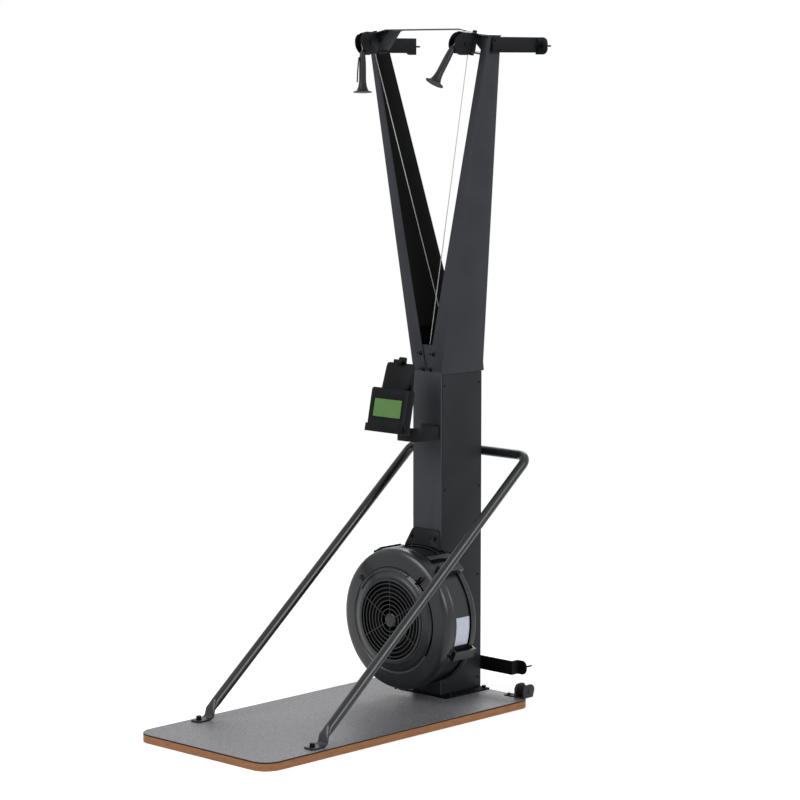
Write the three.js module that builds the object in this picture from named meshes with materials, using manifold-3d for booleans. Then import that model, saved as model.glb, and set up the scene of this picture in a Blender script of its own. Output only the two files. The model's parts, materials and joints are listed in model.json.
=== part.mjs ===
import * as THREE from 'three';
import { ConvexGeometry } from 'three/addons/geometries/ConvexGeometry.js';
import { mergeVertices } from 'three/addons/utils/BufferGeometryUtils.js';
import Module from 'manifold-3d';

// Ski trainer: a deck board, a column with two arms that part in a V, a fan low on the column,
// and two handles on cords that run over swivelling pulleys down to drums on the fan's shaft.
// Millimetres. The origin lies on the floor under the middle of the deck. +X is the right hand
// of a person who stands on the deck and faces the column, +Y runs back to the wall, +Z is up.

const wasm = await Module();
wasm.setup();

// Shared clearances and sheet sizes
const gap = 0.3;
const overrun = 20;
const weldDistance = 1e-4;
const runningGap = 0.5;
const sheet = 3;
const boltRadius = 4.3;
const cordRadius = 1.5;
const cordStop = 17;

// Deck
const deckWidth = 600;
const deckLength = 1230;
const deckCorner = 58;
const boardThickness = 19;
const matThickness = 5;
const underlayThickness = 5;
const underlayInset = 32;
const deckTop = underlayThickness + boardThickness + matThickness;
const deckBack = deckLength / 2;

// Column
const columnWidth = 126;
const columnDepth = 200;
const columnBack = deckBack;
const columnFront = columnBack - columnDepth;
const columnHalf = columnWidth / 2;
const basePlateWidth = 212;
const basePlateThickness = 5;
const basePlateLap = 14;
const baseBoltInset = 14;
const columnFoot = deckTop + basePlateThickness + gap;
const columnRise = 1092;
const columnTop = deckTop + columnRise;
const panelTopMargin = 9;
const panelTop = columnTop - panelTopMargin;
const panelThickness = 2;
const panelSink = 1;
const windowMargin = 22;
const panelInset = 7;

// Arms
const armSkirt = 8;
const armSkirtBottom = columnTop - armSkirt;
const armBendRise = 21;
const armBend = columnTop + armBendRise;
const armFront = columnFront;
const armSkin = 3;
const armOuterFoot = columnHalf + gap + armSkin;
const armRise = 2197;
const armTopHeight = deckTop + armRise;
const armOuterTop = 268.5;
const armInnerTop = 245;
const armCrotchDrop = 20;
const armCrotch = columnTop - armCrotchDrop;
const armBackLap = 9;
const armBackFoot = columnBack + armBackLap;
const armBackTaper = 142;
const armBackTop = columnBack - armBackTaper;
const armWindowRise = 148;
const armWindowTop = columnTop + armWindowRise;
const flareHeight = 47;
const flareBottom = armTopHeight - flareHeight;
const flareReach = 62;

// Joint plate between the arms
const jointPlateRise = 88;
const jointPlateTop = columnTop + jointPlateRise;
const jointPlateHalf = 40;
const jointPlateThickness = 5;

// Cross plate over the arms
const crossThickness = 4;
const crossFlatHalf = 165;
const crossEndHalf = 269;
const crossRise = 21;
const crossTop = armTopHeight + crossRise;
const crossEndTop = armTopHeight;
const crossOverhang = 27;
const crossFront = columnFront - crossOverhang;
const crossBackLap = 3;
const crossBack = armBackTop + crossBackLap;

// Pulley housings, which swivel on pins between the cross plate and a shelf
const pinTopReach = 223;
const pinLean = Math.atan2(crossTop - crossEndTop, crossEndHalf - crossFlatHalf);
const pinForward = 16;
const pinRadius = 5;
const pinHeadRadius = 8;
const pinHeadHeight = 6;
const pinY = columnFront - pinForward;
const shelfThickness = 4;
const shelfDrop = 60;
const shelfRadius = 9;
const shelfReach = 34;
const shelfInside = 24;
const leftSwivelTurn = THREE.MathUtils.degToRad(8);
const pulleyDrop = 33;
const pulleyForward = 50;
const pulleyRadius = 32;
const pulleyRim = 34.3;
const pulleyWidth = 14;
const axleRadius = 5;
const housingInside = 23.4;
const housingWall = 2.5;
const housingHeight = 70;
const housingFront = 101;
const housingBackGap = 10;
const housingTrim = 19;
const housingRound = 26;
const backWebShare = 0.25;
const knuckleRadius = 11;
const axleHeadRadius = 7;
const axleHeadHeight = 4;

// Handles and their straps
const handleLength = 138;
const handleTopRadius = 8;
const handleGripRadius = 11.5;
const handleNeckShare = 0.72;
const handleFlareRadius = 21;
const handleWaistShare = 0.72;
const flangeRadius = 31;
const flangeThickness = 4;
const handleDrop = 26;
const leadSteps = 14;
const leftHandleLean = THREE.MathUtils.degToRad(3);
const leftHandlePlumb = THREE.MathUtils.degToRad(8);
const rightHandleLean = THREE.MathUtils.degToRad(28);
const strapWidth = 20;
const strapThickness = 2.4;
const strapLength = 104;
const strapStart = 22;
const strapStandoff = 6;

// Fan
const shellRadius = 236;
const fanLift = 41;
const fanHeight = deckTop + shellRadius + fanLift;
const rearShellStep = 4;
const rearShellRadius = shellRadius - rearShellStep;
const shellWall = 3;
const shellFlange = 12;
const bandStep = 10;
const bandRadius = shellRadius - bandStep;
const ridgeInset = 58;
const ridgeRadius = shellRadius - ridgeInset;
const inletInset = 38;
const grilleRadius = ridgeRadius - inletInset;
const fanReach = 178;
const fanFrontFace = columnFront - fanReach;
const rimReach = 153;
const rimFront = columnFront - rimReach;
const frontShellReach = 110;
const frontShellBack = columnFront - frontShellReach;
const rearShellReach = 32;
const rearShellFront = columnFront - rearShellReach;
const rearShellStand = 8;
const rearShellBack = columnFront - rearShellStand;
const shellBoreRadius = 30;
const rimRound = 7;
const ridgeStep = 9;
const grilleThickness = 3;
const grilleHubRadius = 24;
const grilleRings = 7;
const grilleBarWidth = 3;
const grilleSpokes = 6;
const grilleSteps = 4;
const lugCount = 5;
const lugWidth = 34;
const lugRise = 13;
const lugOuter = shellRadius + lugRise;
const lugEar = 14;
const lugFirst = 48;
const spacerTurn = THREE.MathUtils.degToRad(26.8);
const spacerStand = 1;
const spacerReach = (rearShellRadius + spacerStand) * Math.sin(spacerTurn);
const spacerRise = (rearShellRadius + spacerStand) * Math.cos(spacerTurn);
const spacerRadius = 9;
const bossRadius = 11;
const hoodRise = 55;
const hoodTop = fanHeight + rearShellRadius + hoodRise;
const hoodShoulderRise = 1;
const hoodShoulder = fanHeight + rearShellRadius + hoodShoulderRise;
const hoodLap = 11;
const hoodFoot = fanHeight + rearShellRadius - hoodLap;
const hoodReach = 27;
const hoodFace = columnFront - hoodReach;
const hoodTopHalf = 60;
const hoodFootHalf = 80;
const hoodRound = 12;
const hoodHoleReach = 52;
const hoodHoleDrop = 30;
const hoodHoleHeight = hoodTop - hoodHoleDrop;
const hoodHoleRadius = 7;

// Damper ring and lever
const damperInner = 70;
const damperMargin = 45;
const damperOuter = shellRadius - damperMargin;
const damperThickness = 2.5;
const leverRadius = ridgeRadius;
const leverWidth = 7;
const leverLength = 38;
const leverRise = 16;
const leverAngle = 50;
const leverTravel = 80;
const leverSlotMargin = 5;

// Flywheel, shaft, bearings and drums
const shaftRadius = 8;
const wheelClearance = 19;
const wheelRadius = bandRadius - shellWall - wheelClearance;
const wheelHubRadius = 26;
const wheelFrontGap = 18;
const wheelFront = rimFront + wheelFrontGap;
const wheelBackGap = 16;
const wheelBack = rearShellFront - wheelBackGap;
const wheelPlate = 3;
const bladeCount = 14;
const bladeInner = 112;
const bladeThickness = 2.5;
const wheelRingWidth = 16;
const bearingRadius = 26;
const bearingLength = 14;
const frontBearingBack = 5;
const drumCore = 15;
const drumFlange = 26;
const drumLength = 40;
const drumFlangeThickness = 3;
const frontDrumInset = 30;
const frontDrumY = columnFront + frontDrumInset;
const rearDrumInset = 124;
const rearDrumY = columnFront + rearDrumInset;
const cordOffset = drumCore + cordRadius;
const shaftNose = 4;
const shaftFront = wheelFront - shaftNose;
const shaftEndGap = 6;

// Guide pulleys at the foot of the V
const guideRadius = 16;
const guideRim = 19;
const guideWidth = 14;
const guideGroove = 3.5;
const guideRise = 2.5;
const guideLift = 71;
const guideHeight = columnTop + guideLift;
const guideAxleRadius = 4;
const guidePlateThickness = 6;
const guidePlateHeight = 60;

// Return cords, stretched from the drums to an anchor bar
const returnCordRadius = 4;
const anchorDrop = 52;
const anchorHeight = columnTop - anchorDrop;
const anchorSize = 16;
const anchorThickness = 4;

// Support frame: one bent tube with flattened ends
const tubeRadius = 16;
const tubeSides = 12;
const supportInset = 39;
const supportHalf = deckWidth / 2 - supportInset;
const supportRise = 811;
const supportHeight = deckTop + supportRise;
const supportBendRadius = 42;
const supportSetback = 266;
const supportFootY = -deckBack + supportSetback;
const supportFootRise = 16;
const footWidth = 44;
const footThickness = 6;
const footLength = 50;
const footBoltShare = 0.62;
const crimpLength = 58;
const crimpLap = 3;
const crimpHalf = 20;
const crimpThickness = 7;

// Wall straps and the lower wall bracket
const wallGap = 1;
const wallPlane = columnBack + tubeRadius * 2 + wallGap;
const strapPlate = 4;
const strapHeight = 50;
const wallStrapDrop = 6;
const wallStrapTop = armTopHeight - wallStrapDrop;
const tabWidth = 50;
const tabHeight = 56;
const tabRound = 20;
const wallScrewRadius = 3;
const screwHeadRadius = 7;
const screwHeadHeight = 3;
const wallScrewReach = 42;
const wallStrapLap = 42;
const wallStrapStart = armBackTop - wallStrapLap;
const lowerRise = 87;
const lowerHeight = deckTop + lowerRise;
const lowerHeightSize = 47;
const lowerHalf = 206;
const lowerTab = 42;

// Monitor, its arm and the phone holder
const monitorWidth = 166;
const monitorHeight = 146;
const monitorDepth = 30;
const monitorFoot = 26;
const monitorFootWidth = 178;
const monitorRound = 10;
const monitorTilt = THREE.MathUtils.degToRad(11.5);
const monitorReach = 202;
const monitorFaceY = columnFront - monitorReach;
const monitorRise = 898;
const monitorBase = deckTop + monitorRise;
const screenWidth = 125;
const screenHeight = 60;
const screenRise = 50;
const screenShift = 3;
const screenThickness = 2;
const screenSink = 1.5;
const monitorArmHeight = 45;
const monitorArmLift = 17;
const monitorArmTop = monitorBase + monitorArmLift;
const monitorArmPlate = 5;
const monitorArmReach = 117;
const monitorArmRoot = 57;
const monitorArmRound = 40;
const monitorArmEnd = 22;
const hingeRadius = 5;
const hingeEar = 7;
const hingeEarRadius = 11;
const hingeSpan = 30;
const phoneTopHalf = 60;
const phoneFootHalf = 71;
const phoneHeight = 100;
const phoneThickness = 6;
const phoneRise = 123;
const phoneLap = 22;
const ledgeDepth = 17;
const ledgeThickness = 4;
const phoneRound = 14;
const clampWidth = 34;
const clampThickness = 6;
const clampHeight = 74;
const clampHook = 17;
const clampDrop = 10;
const clampLip = 15;
const clampRound = 7;
const clampStand = 20;

// Transport wheels on the deck's back corners
const rollerInset = 51;
const rollerInner = deckWidth / 2 - rollerInset;
const rollerWidth = 34;
const rollerRadius = 19.5;
const rollerRound = 3;
const rollerSetback = 9;
const rollerY = deckBack - rollerSetback;
const rollerLift = 1;
const rollerZ = deckTop + rollerRadius + rollerLift;
const rollerAxle = 4;
const rollerHead = 6.5;
const rollerHeadHeight = 3.5;
const rollerPlate = 3;
const rollerTab = 46;
const rollerTabMargin = 2;
const rollerTabBack = deckBack - rollerTabMargin;
const rollerBoltInset = 12;
const rollerStrip = 15;
const cheekHalf = 28;
const cheekHeight = 45;
const cheekRound = 20;
const cheekToe = 8;

// Finishes
const paint = (color, roughness, metalness) =>
  new THREE.MeshStandardMaterial({ color, roughness, metalness });
const steelPaint = paint(0x2b2c2f, 0.5, 0.3);
const panelPaint = paint(0x26282a, 0.55, 0.3);
const mouldedPlastic = paint(0x303235, 0.55, 0);
const darkPlastic = paint(0x17181a, 0.6, 0);
const plywood = paint(0xb87444, 0.65, 0);
const rubberMat = paint(0x8b8b8e, 0.95, 0);
const blackRubber = paint(0x121212, 0.9, 0);
const zincSteel = paint(0x55585c, 0.4, 0.9);
const brightSteel = paint(0xb9bcc0, 0.3, 1);
const cordFibre = paint(0xb5b5b2, 0.8, 0);
const gripRubber = paint(0x3a3b3d, 0.75, 0);
const liquidCrystal = paint(0x5d8350, 0.3, 0);

const trainer = new THREE.Group();
const swivels = new Map();

function part(name, geometry, material, parent = trainer) {
  const mesh = new THREE.Mesh(geometry, material);
  mesh.name = name;
  parent.add(mesh);
  return mesh;
}

// Solids are joined and cut by way of merged, position-only meshes.
function toSolid(geometry) {
  const bare = geometry.clone();
  bare.deleteAttribute('normal');
  bare.deleteAttribute('uv');
  const merged = mergeVertices(bare, weldDistance);
  const vertProperties = new Float32Array(merged.attributes.position.array);
  const triVerts = new Uint32Array(merged.index.array);
  return new wasm.Manifold(new wasm.Mesh({ numProp: 3, vertProperties, triVerts }));
}

function toGeometry(solid) {
  const mesh = solid.getMesh();
  const geometry = new THREE.BufferGeometry();
  const positions = new Float32Array(mesh.vertProperties);
  geometry.setAttribute('position', new THREE.BufferAttribute(positions, mesh.numProp));
  geometry.setIndex(new THREE.BufferAttribute(new Uint32Array(mesh.triVerts), 1));
  return geometry;
}

function join(first, ...others) {
  let solid = toSolid(first);
  for (const other of others) solid = solid.add(toSolid(other));
  return toGeometry(solid);
}

function cut(body, ...tools) {
  let solid = toSolid(body);
  for (const tool of tools) solid = solid.subtract(toSolid(tool));
  return toGeometry(solid);
}

function common(first, second) {
  return toGeometry(toSolid(first).intersect(toSolid(second)));
}

function block(low, high) {
  const size = high.map((value, i) => value - low[i]);
  const middle = high.map((value, i) => (value + low[i]) / 2);
  return new THREE.BoxGeometry(...size).translate(...middle);
}

// A straight round bar between two points.
function bar(from, to, radius, sides = 16) {
  const start = new THREE.Vector3(...from);
  const run = new THREE.Vector3(...to).sub(start);
  const geometry = new THREE.CylinderGeometry(radius, radius, run.length(), sides);
  geometry.translate(0, run.length() / 2, 0);
  const turn = new THREE.Quaternion().setFromUnitVectors(
    new THREE.Vector3(0, 1, 0),
    run.clone().normalize(),
  );
  return geometry.applyQuaternion(turn).translate(...from);
}

// A flat plate: its outline is drawn in two axes and raised along the third.
function plateXY(shape, bottom, top, curveSegments = 6) {
  const options = { depth: top - bottom, bevelEnabled: false, curveSegments };
  return new THREE.ExtrudeGeometry(shape, options).translate(0, 0, bottom);
}

function plateXZ(shape, front, back, curveSegments = 6) {
  const options = { depth: back - front, bevelEnabled: false, curveSegments };
  return new THREE.ExtrudeGeometry(shape, options).rotateX(Math.PI / 2).translate(0, back, 0);
}

function plateYZ(shape, left, right, curveSegments = 6) {
  const options = { depth: right - left, bevelEnabled: false, curveSegments };
  const geometry = new THREE.ExtrudeGeometry(shape, options);
  return geometry.rotateX(Math.PI / 2).rotateZ(Math.PI / 2).translate(left, 0, 0);
}

function outline(points) {
  return new THREE.Shape(points.map(([a, b]) => new THREE.Vector2(a, b)));
}

function roundedOutline(halfWidth, halfHeight, corner) {
  const shape = new THREE.Shape();
  const w = halfWidth;
  const h = halfHeight;
  const quarter = Math.PI / 2;
  shape.moveTo(-w + corner, -h);
  shape.absarc(w - corner, -h + corner, corner, -quarter, 0);
  shape.absarc(w - corner, h - corner, corner, 0, quarter);
  shape.absarc(-w + corner, h - corner, corner, quarter, Math.PI);
  shape.absarc(-w + corner, -h + corner, corner, Math.PI, Math.PI + quarter);
  shape.closePath();
  return shape;
}

// A plate's outline that narrows upwards, with rounded corners.
function taperedOutline(lowHalf, highHalf, low, high, corner) {
  const lean = ((lowHalf - highHalf) * corner) / (high - low);
  const shape = new THREE.Shape();
  shape.moveTo(-lowHalf + corner, low);
  shape.lineTo(lowHalf - corner, low);
  shape.quadraticCurveTo(lowHalf, low, lowHalf - lean, low + corner);
  shape.lineTo(highHalf + lean, high - corner);
  shape.quadraticCurveTo(highHalf, high, highHalf - corner, high);
  shape.lineTo(-highHalf + corner, high);
  shape.quadraticCurveTo(-highHalf, high, -highHalf - lean, high - corner);
  shape.lineTo(-lowHalf + lean, low + corner);
  shape.quadraticCurveTo(-lowHalf, low, -lowHalf + corner, low);
  return shape;
}

// A turned piece about the Y axis through the fan's centre; each point is [radius, y].
function turnedAlongY(points, sides = 44) {
  const profile = points.map(([radius, y]) => new THREE.Vector2(radius, y));
  return new THREE.LatheGeometry(profile, sides);
}

function ring(inner, outer, front, back, sides = 32) {
  return turnedAlongY([[inner, front], [outer, front], [outer, back], [inner, back], [inner, front]], sides);
}

// A curve that steps from point to point of a line.
class Route extends THREE.Curve {
  constructor(points) {
    super();
    this.points = points;
  }

  getPoint(share) {
    const place = share * (this.points.length - 1);
    const i = Math.min(Math.floor(place), this.points.length - 2);
    return this.points[i].clone().lerp(this.points[i + 1], place - i);
  }

  getPointAt(share) {
    return this.getPoint(share);
  }

  getTangentAt(share) {
    const i = Math.round(share * (this.points.length - 1));
    const before = this.points[Math.max(0, i - 1)];
    const here = this.points[i];
    const after = this.points[Math.min(this.points.length - 1, i + 1)];
    const tangent = new THREE.Vector3();
    if (i > 0) tangent.add(here.clone().sub(before).normalize());
    if (i < this.points.length - 1) tangent.add(after.clone().sub(here).normalize());
    return tangent.normalize();
  }
}

// A tube through a line of points, with closed ends.
function tubeAlong(points, radius, sides) {
  const section = new THREE.Shape();
  for (let i = 0; i < sides; i += 1) {
    const angle = (i * 2 * Math.PI) / sides;
    const x = radius * Math.cos(angle);
    const y = radius * Math.sin(angle);
    if (i === 0) section.moveTo(x, y);
    else section.lineTo(x, y);
  }
  section.closePath();
  const options = { steps: points.length - 1, extrudePath: new Route(points), bevelEnabled: false };
  return new THREE.ExtrudeGeometry(section, options);
}

// The points of a line of straight runs and rounded corners.
function roundedRoute(points, radius, bendSteps = 6) {
  const corners = points.map((point) => new THREE.Vector3(...point));
  const route = [corners[0]];
  for (let i = 1; i < corners.length - 1; i += 1) {
    const corner = corners[i];
    const back = corners[i - 1].clone().sub(corner).normalize();
    const ahead = corners[i + 1].clone().sub(corner).normalize();
    const halfAngle = back.angleTo(ahead) / 2;
    const trim = radius / Math.tan(halfAngle);
    const inward = back.clone().add(ahead).normalize();
    const centre = corner.clone().addScaledVector(inward, radius / Math.sin(halfAngle));
    const start = corner.clone().addScaledVector(back, trim).sub(centre);
    const end = corner.clone().addScaledVector(ahead, trim).sub(centre);
    const turn = start.angleTo(end);
    for (let step = 0; step <= bendSteps; step += 1) {
      const share = step / bendSteps;
      const fromStart = Math.sin((1 - share) * turn) / Math.sin(turn);
      const fromEnd = Math.sin(share * turn) / Math.sin(turn);
      const point = centre.clone().addScaledVector(start, fromStart).addScaledVector(end, fromEnd);
      route.push(point);
    }
  }
  route.push(corners[corners.length - 1]);
  return route;
}

// The same shape on the other side of the machine.
function mirrored(geometry) {
  const flipped = geometry.index ? geometry.toNonIndexed() : geometry.clone();
  flipped.scale(-1, 1, 1);
  const position = flipped.attributes.position;
  const order = [];
  for (let i = 0; i < position.count; i += 3) order.push(i, i + 2, i + 1);
  flipped.deleteAttribute('normal');
  flipped.deleteAttribute('uv');
  flipped.setIndex(order);
  return mergeVertices(flipped.toNonIndexed(), weldDistance);
}

function addDeck() {
  const boardBottom = underlayThickness;
  const boardTop = boardBottom + boardThickness;
  const places = [...baseBoltPlaces(), ...footBoltPlaces(), ...forkBoltPlaces()];
  const holes = places.map(([x, y]) => bar([x, y, 0], [x, y, deckTop + overrun], boltRadius, 8));
  const plan = roundedOutline(deckWidth / 2, deckLength / 2, deckCorner);
  part('platform_board', cut(plateXY(plan, boardBottom + gap, boardTop), ...holes), plywood);
  part('platform_mat', cut(plateXY(plan, boardTop + gap, deckTop), ...holes), rubberMat);
  const inset = roundedOutline(
    deckWidth / 2 - underlayInset,
    deckLength / 2 - underlayInset,
    deckCorner - underlayInset,
  );
  part('rubber_underlay', plateXY(inset, 0, underlayThickness), blackRubber);
}

function baseBoltPlaces() {
  const x = basePlateWidth / 2 - baseBoltInset;
  return [-1, 1].flatMap((side) => [
    [side * x, columnFront + baseBoltInset],
    [side * x, columnBack - baseBoltInset],
  ]);
}

function footBoltPlaces() {
  const y = supportFootY - footLength * footBoltShare;
  return [-1, 1].map((side) => [side * supportHalf, y]);
}

function forkBoltPlaces() {
  const x = rollerInner - rollerTab + rollerBoltInset;
  const y = rollerY - cheekHalf + rollerBoltInset;
  return [-1, 1].map((side) => [side * x, y]);
}

function addBase() {
  const low = [-basePlateWidth / 2, columnFront - basePlateLap, deckTop + gap];
  const high = [basePlateWidth / 2, columnBack - gap, deckTop + basePlateThickness];
  const holes = baseBoltPlaces().map(([x, y]) => throughDeck(x, y));
  part('base_plate', cut(block(low, high), ...holes), steelPaint);
}

function throughDeck(x, y) {
  return bar([x, y, deckTop - overrun], [x, y, deckTop + overrun], boltRadius, 8);
}

function addColumn() {
  const low = [-columnHalf, columnFront, columnFoot];
  const high = [columnHalf, columnBack, columnTop];
  const hollowLow = [-columnHalf + sheet, columnFront + sheet, columnFoot - overrun];
  const hollowHigh = [columnHalf - sheet, columnBack - sheet, columnTop + overrun];
  const recessDepth = panelThickness + gap - panelSink;
  const windows = [-1, 1].map((side) => {
    const near = side * (columnHalf - sheet - overrun);
    const far = side * (columnHalf + overrun);
    return block(
      [Math.min(near, far), columnFront + windowMargin, columnFoot + windowMargin],
      [Math.max(near, far), columnBack - windowMargin, panelTop - windowMargin],
    );
  });
  const recesses = [-1, 1].map((side) => {
    const near = side * (columnHalf - recessDepth);
    const far = side * (columnHalf + overrun);
    return block(
      [Math.min(near, far), columnFront + panelInset - gap, columnFoot - overrun],
      [Math.max(near, far), columnBack + overrun, panelTop + gap],
    );
  });
  const shaftHole = bar(
    [0, columnFront - overrun, fanHeight],
    [0, columnFront + overrun, fanHeight],
    bearingRadius + gap,
    28,
  );
  const shell = cut(
    block(low, high),
    block(hollowLow, hollowHigh),
    ...windows,
    ...recesses,
    shaftHole,
  );
  part('column_frame', shell, steelPaint);
  addSidePanels();
}

function addSidePanels() {
  const inside = columnHalf - panelThickness + panelSink;
  const outside = columnHalf + panelSink;
  for (const side of [-1, 1]) {
    const low = [Math.min(side * inside, side * outside), columnFront + panelInset, columnFoot];
    const high = [Math.max(side * inside, side * outside), columnBack, panelTop];
    const name = side < 0 ? 'left_side_panel' : 'right_side_panel';
    part(name, block(low, high), panelPaint);
  }
}

// The arm's lines. Each gives x or y at a height.
const armInnerX = (z) => (armInnerTop * (z - armCrotch)) / (armTopHeight - armCrotch);
const armOuterX = (z) =>
  armOuterFoot + ((armOuterTop - armOuterFoot) * (z - armBend)) / (armTopHeight - armBend);
const armBackY = (z) =>
  armBackFoot + ((armBackTop - armBackFoot) * (z - armSkirtBottom)) / (armTopHeight - armSkirtBottom);
const crossUnderside = (x) =>
  crossTop - crossThickness - gap
  - (Math.max(0, x - crossFlatHalf) * (crossTop - crossEndTop)) / (crossEndHalf - crossFlatHalf);

function armOutline(wall, top) {
  const flareTopX = armInnerX(flareBottom) - flareReach;
  return outline([
    [gap / 2 + (wall > 0 ? -overrun : 0), armSkirtBottom - (wall > 0 ? overrun : 0)],
    [armOuterFoot - wall, armSkirtBottom - (wall > 0 ? overrun : 0)],
    [armOuterFoot - wall, armBend],
    [armOuterX(armTopHeight) - wall, crossUnderside(armOuterTop) + top],
    [flareTopX + wall, crossUnderside(flareTopX) + top],
    [armInnerX(flareBottom) + wall, flareBottom + wall / 2],
    [armInnerX(armBend) + wall, armBend + wall],
    [gap / 2 + (wall > 0 ? -overrun : 0), armCrotch + (armBend - armCrotch) / 2],
  ]);
}

// Everything behind the arm's slanting back plane, moved forward by a wall.
function behindArm(wall) {
  const low = armSkirtBottom - overrun;
  const high = crossTop + overrun;
  const far = armBackFoot + overrun * 2;
  const shape = outline([
    [armBackY(low) - wall, low],
    [far, low],
    [far, high],
    [armBackY(high) - wall, high],
  ]);
  return plateYZ(shape, -overrun * 2, crossEndHalf + overrun);
}

function armGeometry() {
  const far = armBackFoot + overrun;
  const solid = cut(plateXZ(armOutline(0, 0), armFront, far), behindArm(0));
  const hollow = cut(
    plateXZ(armOutline(armSkin, overrun), armFront + armSkin, far),
    behindArm(armSkin),
  );
  const columnSpace = block(
    [-overrun, columnFront - overrun, armSkirtBottom - overrun],
    [columnHalf + gap, columnBack + gap, columnTop + gap],
  );
  const cordWindow = block(
    [-overrun, armFront + armSkin, columnTop],
    [columnHalf, armBackY(armWindowTop) - armSkin, armWindowTop],
  );
  const jointSpace = block(
    [-overrun, armFront + armSkin, armSkirtBottom - overrun],
    [jointPlateHalf + gap, armFront + armSkin + jointPlateThickness + 2 * gap, jointPlateTop + gap],
  );
  const [shelfX, , shelfZ] = pinPoint(shelfDrop);
  const tongue = new THREE.Shape();
  tongue.absarc(0, 0, shelfRadius, Math.PI, Math.PI * 2, false);
  tongue.lineTo(shelfReach, pinForward);
  tongue.lineTo(shelfReach, pinForward + shelfInside);
  tongue.lineTo(-shelfRadius, pinForward + shelfInside);
  tongue.closePath();
  const shelf = plateXY(tongue, -shelfThickness, 0).rotateY(pinLean).translate(shelfX, pinY, shelfZ);
  const pinHole = bar(pinPoint(-overrun), pinPoint(shelfDrop + overrun * 2), pinRadius + gap);
  const shell = cut(solid, hollow, columnSpace, cordWindow, jointSpace);
  return cut(join(shell, shelf), pinHole);
}

// A point on the right swivel pin's axis, measured down from the cross plate's underside.
function pinPoint(down) {
  const x = pinTopReach - down * Math.sin(pinLean);
  const z = crossUnderside(pinTopReach) - down * Math.cos(pinLean);
  return [x, pinY, z];
}

function addArms() {
  const right = armGeometry();
  part('right_arm', right, steelPaint);
  part('left_arm', mirrored(right), steelPaint);
  addJointPlate();
}

function addJointPlate() {
  const front = armFront + armSkin + gap;
  const shape = outline([
    [-jointPlateHalf, columnTop + gap],
    [jointPlateHalf, columnTop + gap],
    [jointPlateHalf, jointPlateTop],
    [-jointPlateHalf, jointPlateTop],
  ]);
  part('arm_joint_plate', plateXZ(shape, front, front + jointPlateThickness), steelPaint);
}

// The inner face of the wall strap, clear of the arm's leaning side at the strap's top.
function wallStrapX() {
  return armOuterX(armTopHeight) + gap * 2;
}

function addCrossPlate() {
  const top = [
    [-crossEndHalf, crossEndTop],
    [-crossFlatHalf, crossTop],
    [crossFlatHalf, crossTop],
    [crossEndHalf, crossEndTop],
  ];
  const bottom = top.map(([x, z]) => [x, z - crossThickness]).reverse();
  const body = plateXZ(outline([...top, ...bottom]), crossFront, crossBack);
  const holes = [-1, 1].map((side) => {
    const from = pinPoint(-overrun);
    const to = pinPoint(overrun);
    return bar(
      [side * from[0], from[1], from[2]],
      [side * to[0], to[1], to[2]],
      pinRadius + gap,
    );
  });
  part('cross_plate', cut(body, ...holes), steelPaint);
}

// Each housing swings in a frame of its own: z' runs up the pin, y' is the machine's Y,
// and the origin is on the pin's axis, level with the pulley's axle.
function swivelFrame(side) {
  const frame = new THREE.Group();
  const [x, y, z] = pinPoint(pulleyDrop);
  frame.position.set(side * x, y, z);
  frame.rotation.set(0, side * pinLean, side < 0 ? leftSwivelTurn : 0);
  trainer.add(frame);
  frame.updateMatrixWorld(true);
  return frame;
}

function housingGeometry() {
  const half = housingHeight / 2;
  const inner = housingInside / 2;
  const outer = inner + housingWall;
  const front = half - housingFront;
  const side = new THREE.Shape();
  side.moveTo(front, -half);
  side.absarc(
    -housingBackGap - housingRound,
    -half + housingRound,
    housingRound,
    -Math.PI / 2,
    0,
    false,
  );
  side.lineTo(-housingBackGap, half);
  side.lineTo(front, half);
  side.absarc(front, 0, half, Math.PI / 2, (Math.PI * 3) / 2, false);
  side.closePath();
  const left = plateYZ(side, -outer, -inner, 8);
  const right = plateYZ(side, inner, outer, 8);
  const topWeb = block(
    [-outer, front, half],
    [outer, -housingTrim, half + housingWall],
  );
  const backWeb = block(
    [-outer, -housingBackGap - housingWall, -half * backWebShare],
    [outer, -housingBackGap, half],
  );
  const knuckleTop = pulleyDrop - gap * 2;
  const knuckleBottom = pulleyDrop - shelfDrop + gap * 2;
  const knuckle = bar([0, 0, knuckleBottom], [0, 0, knuckleTop], knuckleRadius, 20);
  const bore = bar([0, 0, -shelfDrop], [0, 0, shelfDrop], pinRadius + runningGap, 20);
  const trim = block([-outer * 2, -housingTrim, knuckleTop], [outer * 2, housingFront, shelfDrop]);
  const axleEnd = outer + axleHeadHeight;
  const axle = bar([-axleEnd, -pulleyForward, 0], [axleEnd, -pulleyForward, 0], axleRadius);
  const heads = [-1, 1].map((end) => bar(
    [end * outer, -pulleyForward, 0],
    [end * axleEnd, -pulleyForward, 0],
    axleHeadRadius,
    6,
  ));
  const body = join(left, right, topWeb, backWeb, knuckle);
  return join(cut(body, bore, trim), axle, ...heads);
}

function pulleyGeometry() {
  const half = pulleyWidth / 2;
  const groove = pulleyRadius - cordRadius - gap;
  const bore = axleRadius + runningGap;
  const profile = [
    [bore, -half],
    [pulleyRim, -half],
    [groove, -cordRadius],
    [groove, cordRadius],
    [pulleyRim, half],
    [bore, half],
    [bore, -half],
  ];
  return turnedAlongY(profile, 28).rotateZ(-Math.PI / 2);
}

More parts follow.
